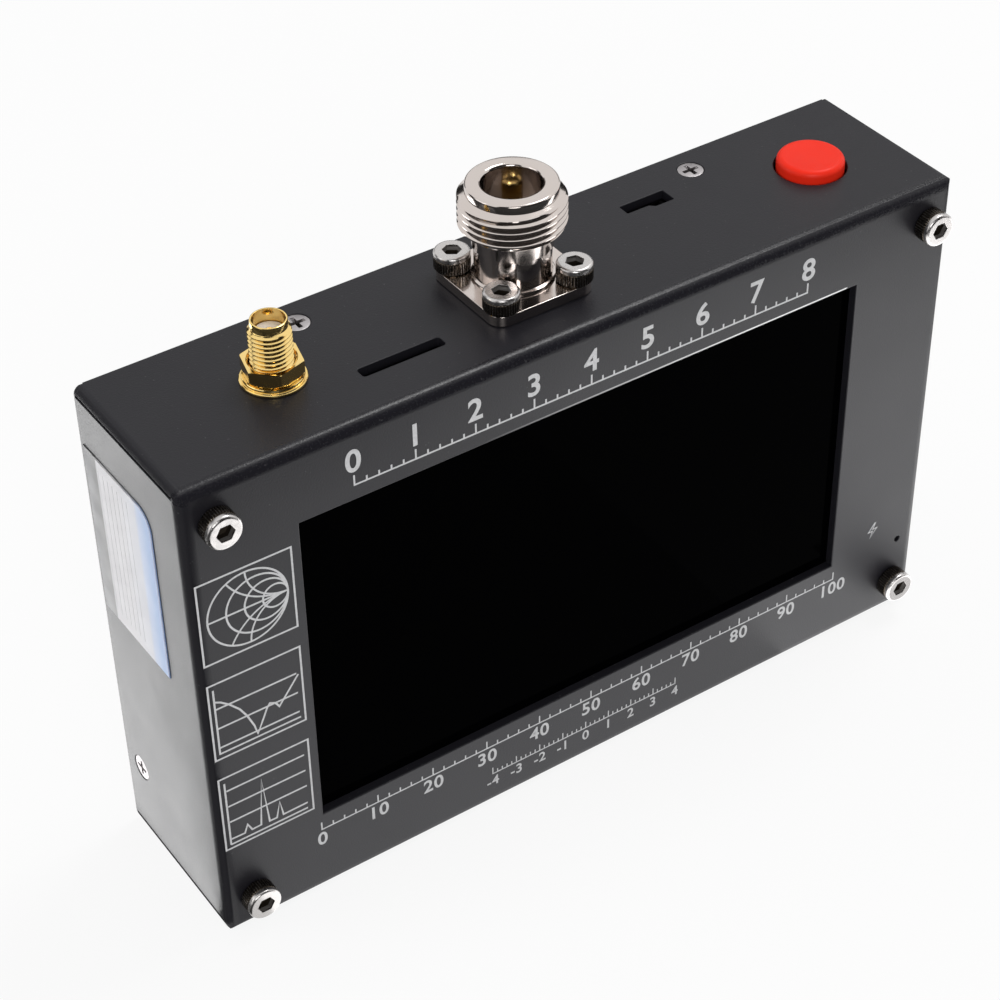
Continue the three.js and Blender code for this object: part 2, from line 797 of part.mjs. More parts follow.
function shieldCan() {
  const low = radioLowZ + shieldRise;
  const high = caseHeight + smallRearZ - solderPinLength - shieldDrop;
  const left = radioLeft + shieldInset;
  const right = radioRight - shieldInset;
  const can = block([left, shieldFrontY, low], [right, shieldBackY, high]);
  const room = block(
    [left + shieldWall, shieldFrontY - cutOverrun, low + shieldWall],
    [right - shieldWall, shieldBackY - shieldWall, high - shieldWall],
  );
  return can.subtract(room);
}

piece('shield_can', shieldCan(), 'steel');
const headerX = (radioLeft + radioRight) / 2;
const headerLow = radioLowZ + headerRise;
piece(
  'board_header',
  block(
    [headerX - headerLength / 2, boardBackY + seatGap, headerLow],
    [headerX + headerLength / 2, radioFrontY - seatGap, headerLow + headerWidth],
  ),
  'blackPlastic',
);

// Ring-shaped ridges of a thread as points, from the lowest root upwards
function threadPoints(low, count, pitch, radius, depth) {
  const points = [];
  for (let i = 0; i < count; i += 1) {
    points.push([radius - depth, low + i * pitch], [radius, low + i * pitch + pitch / 2]);
  }
  points.push([radius - depth, low + count * pitch]);
  return points;
}

// Large connector: nickel-plated shell with a flange, an insulator and a slotted centre contact
function largeShell() {
  const bore = largeBoreDiameter / 2;
  const lip = largeLipDiameter / 2;
  const collar = largeCollarDiameter / 2;
  const barrel = largeBarrelDiameter / 2;
  const base = largeBaseDiameter / 2;
  const rear = largeRearDiameter / 2;
  const lipFoot = largeTipHeight - largeLipHeight;
  const threadTop = lipFoot - largeTaperHeight;
  const threadLow = threadTop - largeThreadCount * largeThreadPitch;
  const collarLow = threadLow - largeCollarHeight;
  const profile = [
    [bore, -sheetThickness],
    [rear, -sheetThickness],
    [rear, flangeThickness / 2],
    [base, flangeThickness / 2],
    [base, flangeThickness],
    [barrel, flangeThickness + largeBaseHeight],
    [barrel, collarLow],
    [collar, collarLow],
    [collar, threadLow],
    ...threadPoints(threadLow, largeThreadCount, largeThreadPitch, largeThreadDiameter / 2, largeThreadDepth),
    [lip, lipFoot],
    [lip, largeTipHeight - largeLipChamfer],
    [lip - largeLipChamfer, largeTipHeight],
    [bore + largeBoreChamfer, largeTipHeight],
    [bore, largeTipHeight - largeBoreChamfer],
    [bore, -sheetThickness],
  ];
  const half = flangeBoltSpacing / 2 + flangeEdge;
  const outline = roundedRectangle(-half, half, -half, half, Array(4).fill(flangeCornerRadius));
  outline.holes.push(polygon(0, 0, bore + boltGap, largeSides));
  const spacing = flangeBoltSpacing / 2;
  for (const x of [-spacing, spacing]) {
    for (const y of [-spacing, spacing]) outline.holes.push(polygon(x, y, boltHole, boltSides));
  }
  return turned(profile, largeSides).add(prism(outline, 'z', seatGap, flangeThickness));
}

function contact(diameter, bore, boreDepth, top, rearTop) {
  const radius = diameter / 2;
  const hole = bore / 2;
  const pin = solderPinDiameter / 2;
  return [
    [0, rearTop - solderPinLength],
    [pin, rearTop - solderPinLength],
    [pin, rearTop],
    [radius, rearTop],
    [radius, top],
    [hole, top],
    [hole, top - boreDepth],
    [0, top - boreDepth],
  ];
}

const largeRearZ = -sheetThickness - largeInsulatorRear;

function largeContact() {
  const top = largeTipHeight - largeContactSink;
  const profile = contact(largeContactDiameter, largeContactBore, largeContactBoreDepth, top, largeRearZ);
  const reach = largeContactDiameter;
  const half = largeContactSlotWidth / 2;
  const slots = [[reach, half], [half, reach]].map(([x, y]) => (
    block([-x, -y, top - largeContactSlotDepth], [x, y, top + cutOverrun])
  ));
  return without(turned(profile, screwSides), slots);
}

const largePlace = [largeConnectorX, connectorShiftY, caseHeight];
piece('n_connector_shell', largeShell(), 'nickel', largePlace);
piece(
  'n_connector_insulator',
  ring(
    largeContactDiameter / 2 + insulatorGap,
    largeBoreDiameter / 2 - insulatorGap,
    largeRearZ,
    largeInsulatorHeight,
    largeSides,
  ),
  'whitePlastic',
  largePlace,
);
piece('n_connector_contact', largeContact(), 'gold', largePlace);

const flangeBolt = socketBolt(flangeBoltLength);
for (const { name, x, y } of flangeBolts()) {
  piece(`flange_screw_${name}`, flangeBolt, 'nickel', [x, y, caseHeight + flangeThickness + seatGap]);
  piece(`flange_nut_${name}`, nutBody, 'steel', [x, y, innerTopZ]);
}

// Small connector: gold-plated threaded shell held by its shoulder inside and its nut and washer outside
function smallShell() {
  const bore = smallBoreDiameter / 2;
  const lip = smallLipDiameter / 2;
  const shoulder = smallShoulderDiameter / 2;
  const rear = smallRearDiameter / 2;
  const crest = smallThreadDiameter / 2;
  const wall = -sheetThickness - seatGap;
  const lipFoot = smallTipHeight - smallLipHeight;
  const threadTop = lipFoot - smallTaperHeight;
  const threadLow = threadTop - smallThreadCount * smallThreadPitch;
  return turned([
    [bore, smallRearZ],
    [rear, smallRearZ],
    [rear, wall - smallShoulderHeight],
    [shoulder, wall - smallShoulderHeight],
    [shoulder, wall],
    [crest - smallThreadDepth, wall],
    ...threadPoints(threadLow, smallThreadCount, smallThreadPitch, crest, smallThreadDepth),
    [lip, lipFoot],
    [lip, smallTipHeight],
    [bore, smallTipHeight],
    [bore, smallRearZ],
  ], smallSides);
}

const smallPlace = [smallConnectorX, connectorShiftY, caseHeight];
const smallInsulatorTop = smallTipHeight - smallInsulatorSink;
piece('sma_connector_shell', smallShell(), 'gold', smallPlace);
piece(
  'sma_connector_insulator',
  ring(
    smallContactDiameter / 2 + insulatorGap,
    smallBoreDiameter / 2 - insulatorGap,
    smallRearZ,
    smallInsulatorTop,
    boltSides,
  ),
  'whitePlastic',
  smallPlace,
);
const smallContact = contact(
  smallContactDiameter,
  smallContactBore,
  smallContactBoreDepth,
  smallInsulatorTop,
  smallRearZ,
);
piece('sma_connector_contact', turned(smallContact, screwSides), 'gold', smallPlace);
const smallNutHole = smallThreadDiameter / 2 + boltGap;
piece(
  'sma_connector_washer',
  ring(smallNutHole, smallWasherDiameter / 2, seatGap, smallWasherThickness, smallSides),
  'gold',
  smallPlace,
);

// The nut's hexagon is trimmed by a turned body with chamfered rims
function smallNut() {
  const low = smallWasherThickness + seatGap;
  const high = low + smallNutHeight;
  const corner = smallNutAcross / 2 / Math.cos(Math.PI / hexSides);
  const rim = corner - smallNutChamfer;
  const trim = turned([
    [smallNutHole, low],
    [rim, low],
    [corner + boltGap, low + smallNutChamfer],
    [corner + boltGap, high - smallNutChamfer],
    [rim, high],
    [smallNutHole, high],
    [smallNutHole, low],
  ], smallSides);
  const turn = THREE.MathUtils.degToRad(smallNutTurn);
  return trim.intersect(prism(hexagon(smallNutAcross, turn), 'z', low - cutOverrun, high + cutOverrun));
}

piece('sma_connector_nut', smallNut(), 'gold', smallPlace);

// Red cap, pressed on the switch's plunger
const buttonTopZ = buttonProud;
const buttonLowZ = buttonTopZ - buttonHeight;
const seatTopZ = buttonLowZ + plungerSeatDepth;

function buttonCap() {
  const radius = buttonDiameter / 2;
  const flat = radius - buttonEdgeRadius;
  const profile = [[0, buttonLowZ], [radius, buttonLowZ]];
  for (let i = 0; i <= edgeSteps; i += 1) {
    const angle = (i / edgeSteps) * (Math.PI / 2);
    const edge = buttonTopZ - buttonEdgeRadius;
    profile.push([flat + buttonEdgeRadius * Math.cos(angle), edge + buttonEdgeRadius * Math.sin(angle)]);
  }
  for (let i = edgeSteps - 1; i >= 0; i -= 1) {
    const share = i / edgeSteps;
    profile.push([flat * share, buttonTopZ - buttonDish * (1 - share * share)]);
  }
  const half = plungerWidth / 2 + plungerGap;
  const seat = block([-half, -half, buttonLowZ - cutOverrun], [half, half, seatTopZ]);
  return turned(profile, buttonSides).subtract(seat);
}

const buttonPlace = [buttonX, connectorShiftY, caseHeight];
piece('power_button', buttonCap(), 'redPlastic', buttonPlace);

function plunger() {
  const half = plungerWidth / 2;
  const low = switchTopZ - caseHeight - plungerInSwitch;
  return block([-half, -half, low], [half, half, seatTopZ - seatGap]);
}

piece('switch_plunger', plunger(), 'blackPlastic', buttonPlace);

function switchBody() {
  const half = switchWidth / 2;
  const low = switchTopZ - switchLength;
  const body = block(
    [buttonX - half, connectorShiftY - switchAxisHeight, low],
    [buttonX + half, powerFrontY - seatGap, switchTopZ],
  );
  const bore = plungerWidth / 2 + plungerGap;
  const floor = switchTopZ - plungerInSwitch - plungerBoreSpare;
  return body.subtract(block(
    [buttonX - bore, connectorShiftY - bore, floor],
    [buttonX + bore, connectorShiftY + bore, switchTopZ + cutOverrun],
  ));
}

piece('power_switch', switchBody(), 'blackPlastic');

// Power board, cut away under the button, and the two posts that carry it
function powerBoard() {
  const right = buttonX + powerBoardRight;
  const board = block([powerLeft, powerFrontY, powerLowZ], [right, powerBackY, powerTopZ]);
  const reach = buttonDiameter / 2 + buttonGap;
  const before = powerFrontY - cutOverrun;
  const behind = powerBackY + cutOverrun;
  const cuts = [block(
    [buttonX - reach, before, switchTopZ],
    [right + cutOverrun, behind, powerTopZ + cutOverrun],
  )];
  for (const [, x] of postPlaces) {
    cuts.push(prism(polygon(x, postZ, postHole, screwSides), 'y', before, behind));
  }
  return without(board, cuts);
}

piece('power_board', powerBoard(), 'greenBoard');

// A post's origin is on the main board's front face, and it points towards the back
function post() {
  const pin = postPinDiameter / 2;
  const barb = postBarbDiameter / 2;
  const body = postAcross / 2;
  const boardEnd = boardThickness + seatGap;
  const bodyEnd = powerFrontY - boardFrontY - seatGap;
  const tipStart = bodyEnd + boardThickness + 2 * seatGap;
  return turned([
    [0, -postBarbHeight - seatGap],
    [pin - boltGap, -postBarbHeight - seatGap],
    [barb, -seatGap],
    [pin, -seatGap],
    [pin, boardEnd],
    [body, boardEnd],
    [body, bodyEnd],
    [pin, bodyEnd],
    [pin, tipStart],
    [barb, tipStart],
    [pin - boltGap, tipStart + postBarbHeight],
    [0, tipStart + postBarbHeight],
  ], screwSides);
}

const postBody = post();
const backward = [-Math.PI / 2, 0, 0];
for (const [side, x] of postPlaces) {
  piece(`board_post_${side}`, postBody, 'whitePlastic', [x, boardFrontY, postZ], backward);
}

// Memory card socket on the main board, and charging socket on the power board, both open upwards
function cardSocket() {
  const high = innerTopZ - boltGap;
  const low = high - cardSocketLength;
  const half = cardSocketWidth / 2;
  const middleY = boardBackY + cardSocketHeight / 2;
  const shell = block(
    [cardX - half, boardBackY + seatGap, low],
    [cardX + half, boardBackY + cardSocketHeight, high],
  );
  const room = cardCavityWidth / 2;
  const tall = cardCavityHeight / 2;
  return shell.subtract(block(
    [cardX - room, middleY - tall, high - cardCavityDepth],
    [cardX + room, middleY + tall, high + cutOverrun],
  ));
}

function chargeSocket() {
  const high = innerTopZ - boltGap;
  const low = high - chargeSocketLength;
  const half = chargeSocketWidth / 2;
  const middleY = powerBackY + chargeSocketHeight / 2;
  const floor = high - chargeCavityDepth;
  const shell = block(
    [chargeX - half, powerBackY + seatGap, low],
    [chargeX + half, powerBackY + chargeSocketHeight, high],
  );
  const room = chargeCavityWidth / 2;
  const tall = chargeCavityHeight / 2;
  const cavity = block(
    [chargeX - room, middleY - tall, floor],
    [chargeX + room, middleY + tall, high + cutOverrun],
  );
  const wide = chargeTongueWidth / 2;
  const thick = chargeTongueHeight / 2;
  const tongue = block(
    [chargeX - wide, middleY - thick, floor - seatGap],
    [chargeX + wide, middleY + thick, high - cutOverrun],
  );
  return shell.subtract(cavity).add(tongue);
}

piece('card_socket', cardSocket(), 'steel');
piece('charge_socket', chargeSocket(), 'steel');

// Charging light: a round lamp on the main board, behind the pinhole
function lamp() {
  const radius = lampDiameter / 2;
  const foot = lampFootDiameter / 2;
  const shoulder = lampHeight - radius;
  const profile = [[0, seatGap], [foot, seatGap], [foot, lampFootHeight], [radius, lampFootHeight]];
  for (let i = 0; i < edgeSteps; i += 1) {
    const angle = (i / edgeSteps) * (Math.PI / 2);
    profile.push([radius * Math.cos(angle), shoulder + radius * Math.sin(angle)]);
  }
  profile.push([0, lampHeight]);
  return turned(profile, screwSides);
}

piece('charge_light', lamp(), 'lamp', [sideX - pinholeInsetX, boardFrontY, pinholeHeight], outward.front);

// Battery pack between the shield can and the back cover, and its two leads to the power board
const batteryFrontY = shieldBackY + batteryToShield;
const batteryBackY = innerBackY - batteryTape;
const batteryLowZ = sheetThickness + batteryRise;
const batteryHighZ = batteryLowZ + batteryHeight;

const batteryLeft = batteryInset - innerX;
const batteryRight = powerLeft - batteryToBoard;

function batteryPack() {
  const radii = Array(4).fill(batteryEdgeRadius);
  const shape = roundedRectangle(batteryLeft, batteryRight, batteryFrontY, batteryBackY, radii);
  return prism(shape, 'z', batteryLowZ, batteryHighZ);
}

piece('battery_pack', batteryPack(), 'battery');

function lead(offset) {
  const startX = batteryRight + seatGap;
  const startY = (batteryFrontY + batteryBackY) / 2;
  const startZ = batteryHighZ - leadDrop - offset;
  const endX = powerLeft + leadEndInset;
  const endZ = powerLowZ + leadEndRise - offset;
  const standY = powerBackY + leadStand;
  const route = new THREE.CatmullRomCurve3([
    new THREE.Vector3(startX, startY, startZ),
    new THREE.Vector3(startX + leadExit, startY, startZ),
    new THREE.Vector3((startX + endX) / 2, (startY + standY) / 2, (startZ + endZ) / 2),
    new THREE.Vector3(endX, standY, endZ),
    new THREE.Vector3(endX, powerBackY + seatGap, endZ),
  ], false, 'centripetal');
  const section = polygon(0, 0, leadDiameter / 2, leadSides);
  return solid(new THREE.ExtrudeGeometry(section, { steps: leadSteps, extrudePath: route }));
}

piece('battery_lead_red', lead(0), 'redWire');
piece('battery_lead_black', lead(leadSpacing), 'blackWire');

// Label on the left wall, near its rear edge
function sideLabel() {
  const back = backY - labelInsetY;
  const high = caseHeight - labelDrop;
  const radii = [0, 0, 0, labelCornerRadius];
  const shape = roundedRectangle(back - labelWidth, back, high - labelHeight, high, radii);
  return prism(shape, 'x', -sideX - labelThickness, -sideX);
}

piece('side_label', sideLabel(), 'label');

export default analyzer;
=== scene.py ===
from math import atan2, ceil, cos, pi, radians, sin, tan, tau

import bmesh
import bpy
from mathutils import Matrix, Vector


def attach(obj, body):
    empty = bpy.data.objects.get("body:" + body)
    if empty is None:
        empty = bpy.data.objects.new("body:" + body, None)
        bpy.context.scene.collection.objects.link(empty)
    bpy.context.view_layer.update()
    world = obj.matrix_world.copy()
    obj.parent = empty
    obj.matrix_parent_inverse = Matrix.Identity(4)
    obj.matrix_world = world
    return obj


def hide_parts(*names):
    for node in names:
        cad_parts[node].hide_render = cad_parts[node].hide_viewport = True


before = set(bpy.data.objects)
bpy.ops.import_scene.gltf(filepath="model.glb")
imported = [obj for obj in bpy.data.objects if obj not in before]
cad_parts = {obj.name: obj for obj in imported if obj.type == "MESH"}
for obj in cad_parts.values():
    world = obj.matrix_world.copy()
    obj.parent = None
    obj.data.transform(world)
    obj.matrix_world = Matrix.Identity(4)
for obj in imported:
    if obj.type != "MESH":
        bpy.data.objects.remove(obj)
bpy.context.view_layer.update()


# The camera stands in front of the analyzer, to its left and above it, and looks down on the corner
# where the screen face, the left wall and the top wall meet.

MM = 0.001
QUARTER = pi / 2
CAMERA_TURN = radians(-33.5086)
CAMERA_RISE = radians(39.1198)
CAMERA_ROLL = radians(-1.0985)
CAMERA_DISTANCE = 386.139
CAMERA_TARGET = Vector((-7.235, 0, 46.518))
FOCAL_LENGTH = 90.46
SENSOR = 36
NEAREST = 0.01
FARTHEST = 10


def put_in(name, data):
    """A new object in the scene, from a mesh, letters, a lamp or a lens."""
    shape = bpy.data.objects.new(name, data)
    bpy.context.scene.collection.objects.link(shape)
    return shape


turned = Matrix.Rotation(CAMERA_TURN, 4, "Z") @ Matrix.Rotation(QUARTER - CAMERA_RISE, 4, "X")
turned = turned @ Matrix.Rotation(CAMERA_ROLL, 4, "Z")
stand = (CAMERA_TARGET + turned.col[2].xyz * CAMERA_DISTANCE) * MM

lens = bpy.data.cameras.new("camera")
lens.lens, lens.sensor_width = FOCAL_LENGTH, SENSOR
lens.clip_start, lens.clip_end = NEAREST, FARTHEST
camera = put_in("camera", lens)
camera.matrix_world = Matrix.Translation(stand) @ turned
bpy.context.scene.camera = camera


# The case is one steel sheet, 1.5 mm thick, punched flat and folded back on four sides. Its top and
# bottom walls lie over the ends of the side walls. It is powder coated in a fine-grained satin black.

SIDE = 67.5
FRONT = -15
BACK = 15
TOP = 85
SHEET = 1.5
FOLD = 2
WALL_END = 1.5
REAR_CORNER_LOW = 2
REAR_CORNER_HIGH = 0.3
REAR_RIM = 2.2
SEAM = 0.45
SEAM_DEPTH = 0.4
SEAM_EDGE = 0.12
COAT_EDGE = 0.25
PUNCHED_EDGE = 0.22
HOLE_EDGE = 0.15
THROUGH = 3
LINE_Y = 0.6
WINDOW = (-50, 49, 15.8, 72.4)
FRONT_SCREWS = [(x, z) for x in (-62.5, 62.5) for z in (6.3, 78.7)]
SCREW_HOLE = 1.7
PINHOLE = (63.5, 14.8)
PINHOLE_RADIUS = 0.55
LARGE_X = -3.8
LARGE_HOLE = 5.9
SMALL_X = -43.9
SMALL_HOLE = 3.38
BUTTON_X = 51.7
BUTTON_HOLE = 5.65
FLANGE_HALF = 6.35
FLANGE_BOLTS = [(LARGE_X + a * FLANGE_HALF, LINE_Y + b * FLANGE_HALF) for a in (-1, 1) for b in (-1, 1)]
TAB_X = (-34.5, 36)
TAB_Y = 10.4
TAB_Z = (14.75, 70.25)


def eased(corners, steps=6):
    """Corners (a, b) or (a, b, radius) of an outline as points, with an arc where a radius is given."""
    points = []
    for i, corner in enumerate(corners):
        here = Vector(corner[:2])
        if not any(corner[2:]):
            points.append(here)
            continue
        near = corners[i - 1], corners[(i + 1) % len(corners)]
        before, after = [(Vector(other[:2]) - here).normalized() for other in near]
        half = before.angle(after) / 2
        middle = here + (before + after).normalized() * corner[2] / sin(half)
        start, end = [here + way * corner[2] / tan(half) - middle for way in (before, after)]
        first = atan2(start.y, start.x)
        sweep = (atan2(end.y, end.x) - first + pi) % tau - pi
        for step in range(steps + 1):
            angle = first + sweep * step / steps
            points.append(middle + Vector((cos(angle), sin(angle))) * corner[2])
    return points


def rectangle(a0, a1, b0, b1, radius=0, steps=6):
    return eased([(a0, b0, radius), (a1, b0, radius), (a1, b1, radius), (a0, b1, radius)], steps)


def circle(a, b, radius, sides=48):
    angles = [tau * i / sides for i in range(sides)]
    return [Vector((a + radius * cos(t), b + radius * sin(t))) for t in angles]


def grown(outline, by):
    """An anticlockwise outline moved outward, or inward where by is negative."""
    moved = []
    for i, here in enumerate(outline):
        before = (here - outline[i - 1]).normalized()
        after = (outline[(i + 1) % len(outline)] - here).normalized()
        first, second = [Vector((way.y, -way.x)) for way in (before, after)]
        moved.append(here + (first + second) * by / (1 + first.dot(second)))
    return moved


def made(name, points, faces, welded=True):
    """A mesh from points in millimetres, its doubled points welded and its faces turned outward."""
    mesh = bpy.data.meshes.new(name)
    mesh.from_pydata([Vector(point) * MM for point in points], [], faces)
    work = bmesh.new()
    work.from_mesh(mesh)
    if welded:
        bmesh.ops.remove_doubles(work, verts=work.verts, dist=2e-4 * MM)
    bmesh.ops.recalc_face_normals(work, faces=work.faces)
    work.to_mesh(mesh)
    work.free()
    return put_in(name, mesh)


def lofted(rings, name="tool"):
    """Rings of equal counts, skinned one to the next and capped at both ends."""
    count = len(rings[0])
    last = (len(rings) - 1) * count
    faces = []
    for start in range(0, last, count):
        for i in range(count):
            j = (i + 1) % count
            faces.append((start + i, start + j, start + count + j, start + count + i))
    faces += [tuple(reversed(range(count))), tuple(range(last, last + count))]
    return made(name, [point for ring in rings for point in ring], faces)


def at_height(outline, z):
    return [(point.x, point.y, z) for point in outline]


def pushed(outline, axis, stations, name="tool"):
    """An outline pushed along an axis through stations (place, growth), drawn in the other two axes."""
    order = {"x": (2, 0, 1), "y": (0, 2, 1), "z": (0, 1, 2)}[axis]
    rings = []
    for place, growth in stations:
        flat = grown(outline, growth) if growth else outline
        rings.append([[(point.x, point.y, place)[k] for k in order] for point in flat])
    return lofted(rings, name)


def bar(outline, axis, low, high, name="tool"):
    """An outline pushed straight from low to high."""
    return pushed(outline, axis, [(low, 0), (high, 0)], name)


def rounding(radius, steps=4):
    """Depth and inset of the points of a rounded edge, from the face to the wall."""
    angles = [QUARTER * i / steps for i in range(steps + 1)]
    return [(radius * (1 - cos(t)), radius * (1 - sin(t))) for t in angles]


def slab(outline, axis, low, high, edge, name="tool"):
    """An outline pushed from low to high with both rims rounded."""
    lower = [(low + depth, -inset) for depth, inset in rounding(edge)]
    upper = [(high - depth, -inset) for depth, inset in reversed(rounding(edge))]
    return pushed(outline, axis, lower + upper, name)


def punch(outline, axis, edge=HOLE_EDGE):
    """A cutting tool for a hole in the front (y) or in the top wall (z), its outer rim rounded over."""
    face, inward = {"y": (FRONT, 1), "z": (TOP, -1)}[axis]
    mouth = [(face + inward * depth, inset) for depth, inset in rounding(edge)]
    return pushed(outline, axis, [(face - inward, edge), *mouth, (face + inward * THROUGH, 0)])


def together(shapes):
    """Separate shapes as one, without a cut between them."""
    whole = shapes[0]
    work = bmesh.new()
    for shape in shapes:
        shape.data.transform(shape.matrix_basis)
        work.from_mesh(shape.data)
    work.to_mesh(whole.data)
    work.free()
    whole.matrix_basis = Matrix.Identity(4)
    for shape in shapes[1:]:
        bpy.data.objects.remove(shape)
    return whole


def settled(shape):
    """The mesh of a shape once its cuts or its letters are worked out."""
    bpy.context.view_layer.update()
    stage = bpy.context.evaluated_depsgraph_get()
    return bpy.data.meshes.new_from_object(shape.evaluated_get(stage))


def carved(blank, tool, way="DIFFERENCE"):
    cut = blank.modifiers.new("cut", "BOOLEAN")
    cut.operation, cut.solver, cut.object = way, "MANIFOLD", tool
    result = settled(blank)
    blank.modifiers.clear()
    blank.data = result
    bpy.data.objects.remove(tool)
    return blank


def rim_eased(sheet):
    """Rounds the sharp edges along the rear rim of the walls."""
    work = bmesh.new()
    work.from_mesh(sheet.data)
    sharp = [
        edge for edge in work.edges
        if len(edge.link_faces) == 2 and edge.calc_face_angle() > radians(40)
        and ((edge.verts[0].co + edge.verts[1].co) / 2 / MM).y > BACK - REAR_RIM
    ]
    bmesh.ops.bevel(
        work, geom=sharp, offset=COAT_EDGE * MM, segments=3, profile=0.5, affect="EDGES",
        clamp_overlap=True,
    )
    work.to_mesh(sheet.data)
    work.free()
    return sheet


def polished(shape, angle=32):
    """Smooth shading that breaks at edges sharper than the angle, with flat faces kept flat."""
    shape.data.shade_smooth()
    shape.data.set_sharp_from_angle(angle=radians(angle))
    shape.modifiers.new("flat faces", "WEIGHTED_NORMAL").keep_sharp = True
    return shape


def folded_sheet():
    ends = rectangle(-SIDE, SIDE, 0, TOP, WALL_END, 8)
    plan = eased([(-SIDE, FRONT, FOLD), (SIDE, FRONT, FOLD), (SIDE, BACK), (-SIDE, BACK)], 10)
    profile = eased([(FRONT, 0, FOLD), (BACK, 0), (BACK, TOP), (FRONT, TOP, FOLD)], 10)
    room = rectangle(SHEET - SIDE, SIDE - SHEET, SHEET, TOP - SHEET)
    sheet = bar(ends, "y", FRONT, BACK, "case_shell")
    carved(sheet, bar(plan, "z", 0, TOP), "INTERSECT")
    carved(sheet, bar(profile, "x", -SIDE, SIDE), "INTERSECT")
    carved(sheet, bar(room, "y", FRONT + SHEET, BACK + 1))
    for side in (-1, 1):
        walls = sorted((side * (SIDE + 1), side * (SIDE - SHEET)))
        for z, up, radius in ((0, 1, REAR_CORNER_LOW), (TOP, -1, REAR_CORNER_HIGH)):
            middle = Vector((BACK - radius, z + up * radius))
            outline = [(BACK + 1, z - up), (BACK + 1, middle.y), (BACK, middle.y)]
            for angle in [QUARTER * i / 8 for i in range(9)]:
                outline.append(middle + Vector((cos(angle), -up * sin(angle))) * radius)
            outline.append((BACK - radius, z - up))
            carved(sheet, bar([Vector(point) for point in outline], "x", *walls))
    return rim_eased(sheet)


def seam_tool(side, z):
    """A groove along the line where a top or bottom wall lies on the end of a side wall."""
    mouth = [(side * (SIDE - depth), inset) for depth, inset in rounding(SEAM_EDGE, 3)]
    line = rectangle(FRONT + FOLD, BACK - SEAM_DEPTH, z - SEAM / 2, z + SEAM / 2)
    return pushed(line, "x", [(side * (SIDE + 1), SEAM_EDGE), *mouth, (side * (SIDE - SEAM_DEPTH), 0)])


def placed(shape, spot, turn=(0, 0, 0)):
    """Puts a shape that is drawn about its own foot where it belongs, its turn in radians."""
    shape.location = Vector(spot) * MM
    shape.rotation_euler = turn
    bpy.context.view_layer.update()
    return shape


def countersink(spot, turn):
    profile = [
        (0.01, -3), (1.2, -3), (1.2, -1.2), (2.15, -0.25), (2.15, -0.08), (2.3, 0), (2.3, 1), (0.01, 1),
    ]
    rings = [at_height(circle(0, 0, radius, 40), height) for radius, height in profile]
    return placed(lofted(rings), spot, turn)


COVER_SCREWS = []
for wall, z, turn in (("top_", TOP, 0), ("bottom_", 0, pi)):
    for end, x in zip(("left", "right"), TAB_X):
        COVER_SCREWS.append((wall + end, (x, TAB_Y, z), (turn, 0, 0)))
for wall, side in (("left_", -1), ("right_", 1)):
    for end, z in zip(("low", "high"), TAB_Z):
        COVER_SCREWS.append((wall + end, (side * SIDE, TAB_Y, z), (0, side * QUARTER, 0)))

card_slot = rectangle(-33.55, -19.95, -6.4, -4.33, 0.5)
charge_slot = [(20.75, 5.95), (24.6, 5.95), (25.45, 5.2), (28.85, 5.2), (28.85, 8.1), (20.75, 8.1)]
charge_slot = eased([(*corner, 0.12) for corner in charge_slot], 3)

shell = folded_sheet()
tools = [punch(rectangle(*WINDOW), "y", PUNCHED_EDGE)]
tools += [punch(circle(x, z, SCREW_HOLE, 32), "y") for x, z in FRONT_SCREWS]
tools.append(punch(circle(*PINHOLE, PINHOLE_RADIUS, 24), "y"))
tools += [punch(outline, "z") for outline in (card_slot, charge_slot)]
tools.append(punch(circle(LARGE_X, LINE_Y, LARGE_HOLE, 64), "z"))
tools.append(punch(circle(SMALL_X, LINE_Y, SMALL_HOLE), "z"))
tools.append(punch(circle(BUTTON_X, LINE_Y, BUTTON_HOLE, 64), "z", PUNCHED_EDGE))
tools += [punch(circle(x, y, SCREW_HOLE, 32), "z") for x, y in FLANGE_BOLTS]
tools += [countersink(spot, turn) for name, spot, turn in COVER_SCREWS]
tools += [seam_tool(side, z) for side in (-1, 1) for z in (SHEET, TOP - SHEET)]
polished(carved(shell, together(tools)))


def feed(look, socket, value):
    """Links a value to one of the finish's own sockets."""
    look.node_tree.links.new(value, look.node_tree.nodes["Principled BSDF"].inputs[socket])
    return look


def node(look, kind, links=(), **settings):
    """A node in a finish, its settings made and its inputs linked or set."""
    added = look.node_tree.nodes.new("ShaderNode" + kind)
    for key, value in settings.items():
        setattr(added, key, value)
    for key, value in dict(links).items():
        if isinstance(value, bpy.types.NodeSocket):
            look.node_tree.links.new(value, added.inputs[key])
        else:
            added.inputs[key].default_value = value
    return added


def combined(look, way, *values):
    return node(look, "Math", dict(enumerate(values)), operation=way).outputs[0]


def place_on(look):
    """Where a point of the surface lies along the piece's own axes."""
    return node(look, "TexCoord").outputs["Object"]


def along(look):
    return node(look, "SeparateXYZ", {"Vector": place_on(look)}).outputs


def mottle(look, grain, detail, rough=0.5):
    """Cloudy variation from 0 to 1, its grain in millimetres."""
    return node(look, "TexNoise", {
        "Vector": place_on(look), "Scale": 1 / (grain * MM), "Detail": detail, "Roughness": rough,
    }).outputs["Fac"]


def spread(look, factor, low, high, start=0.3, end=0.7):
    """The part of a variation between start and end, spread from low to high."""
    values = {"Value": factor, "From Min": start, "From Max": end, "To Min": low, "To Max": high}
    return node(look, "MapRange", values).outputs["Result"]


def faded(look, distance, start, end, low=0, high=1):
    """A change from low to high between two distances in millimetres."""
    return spread(look, distance, low, high, start * MM, end * MM)


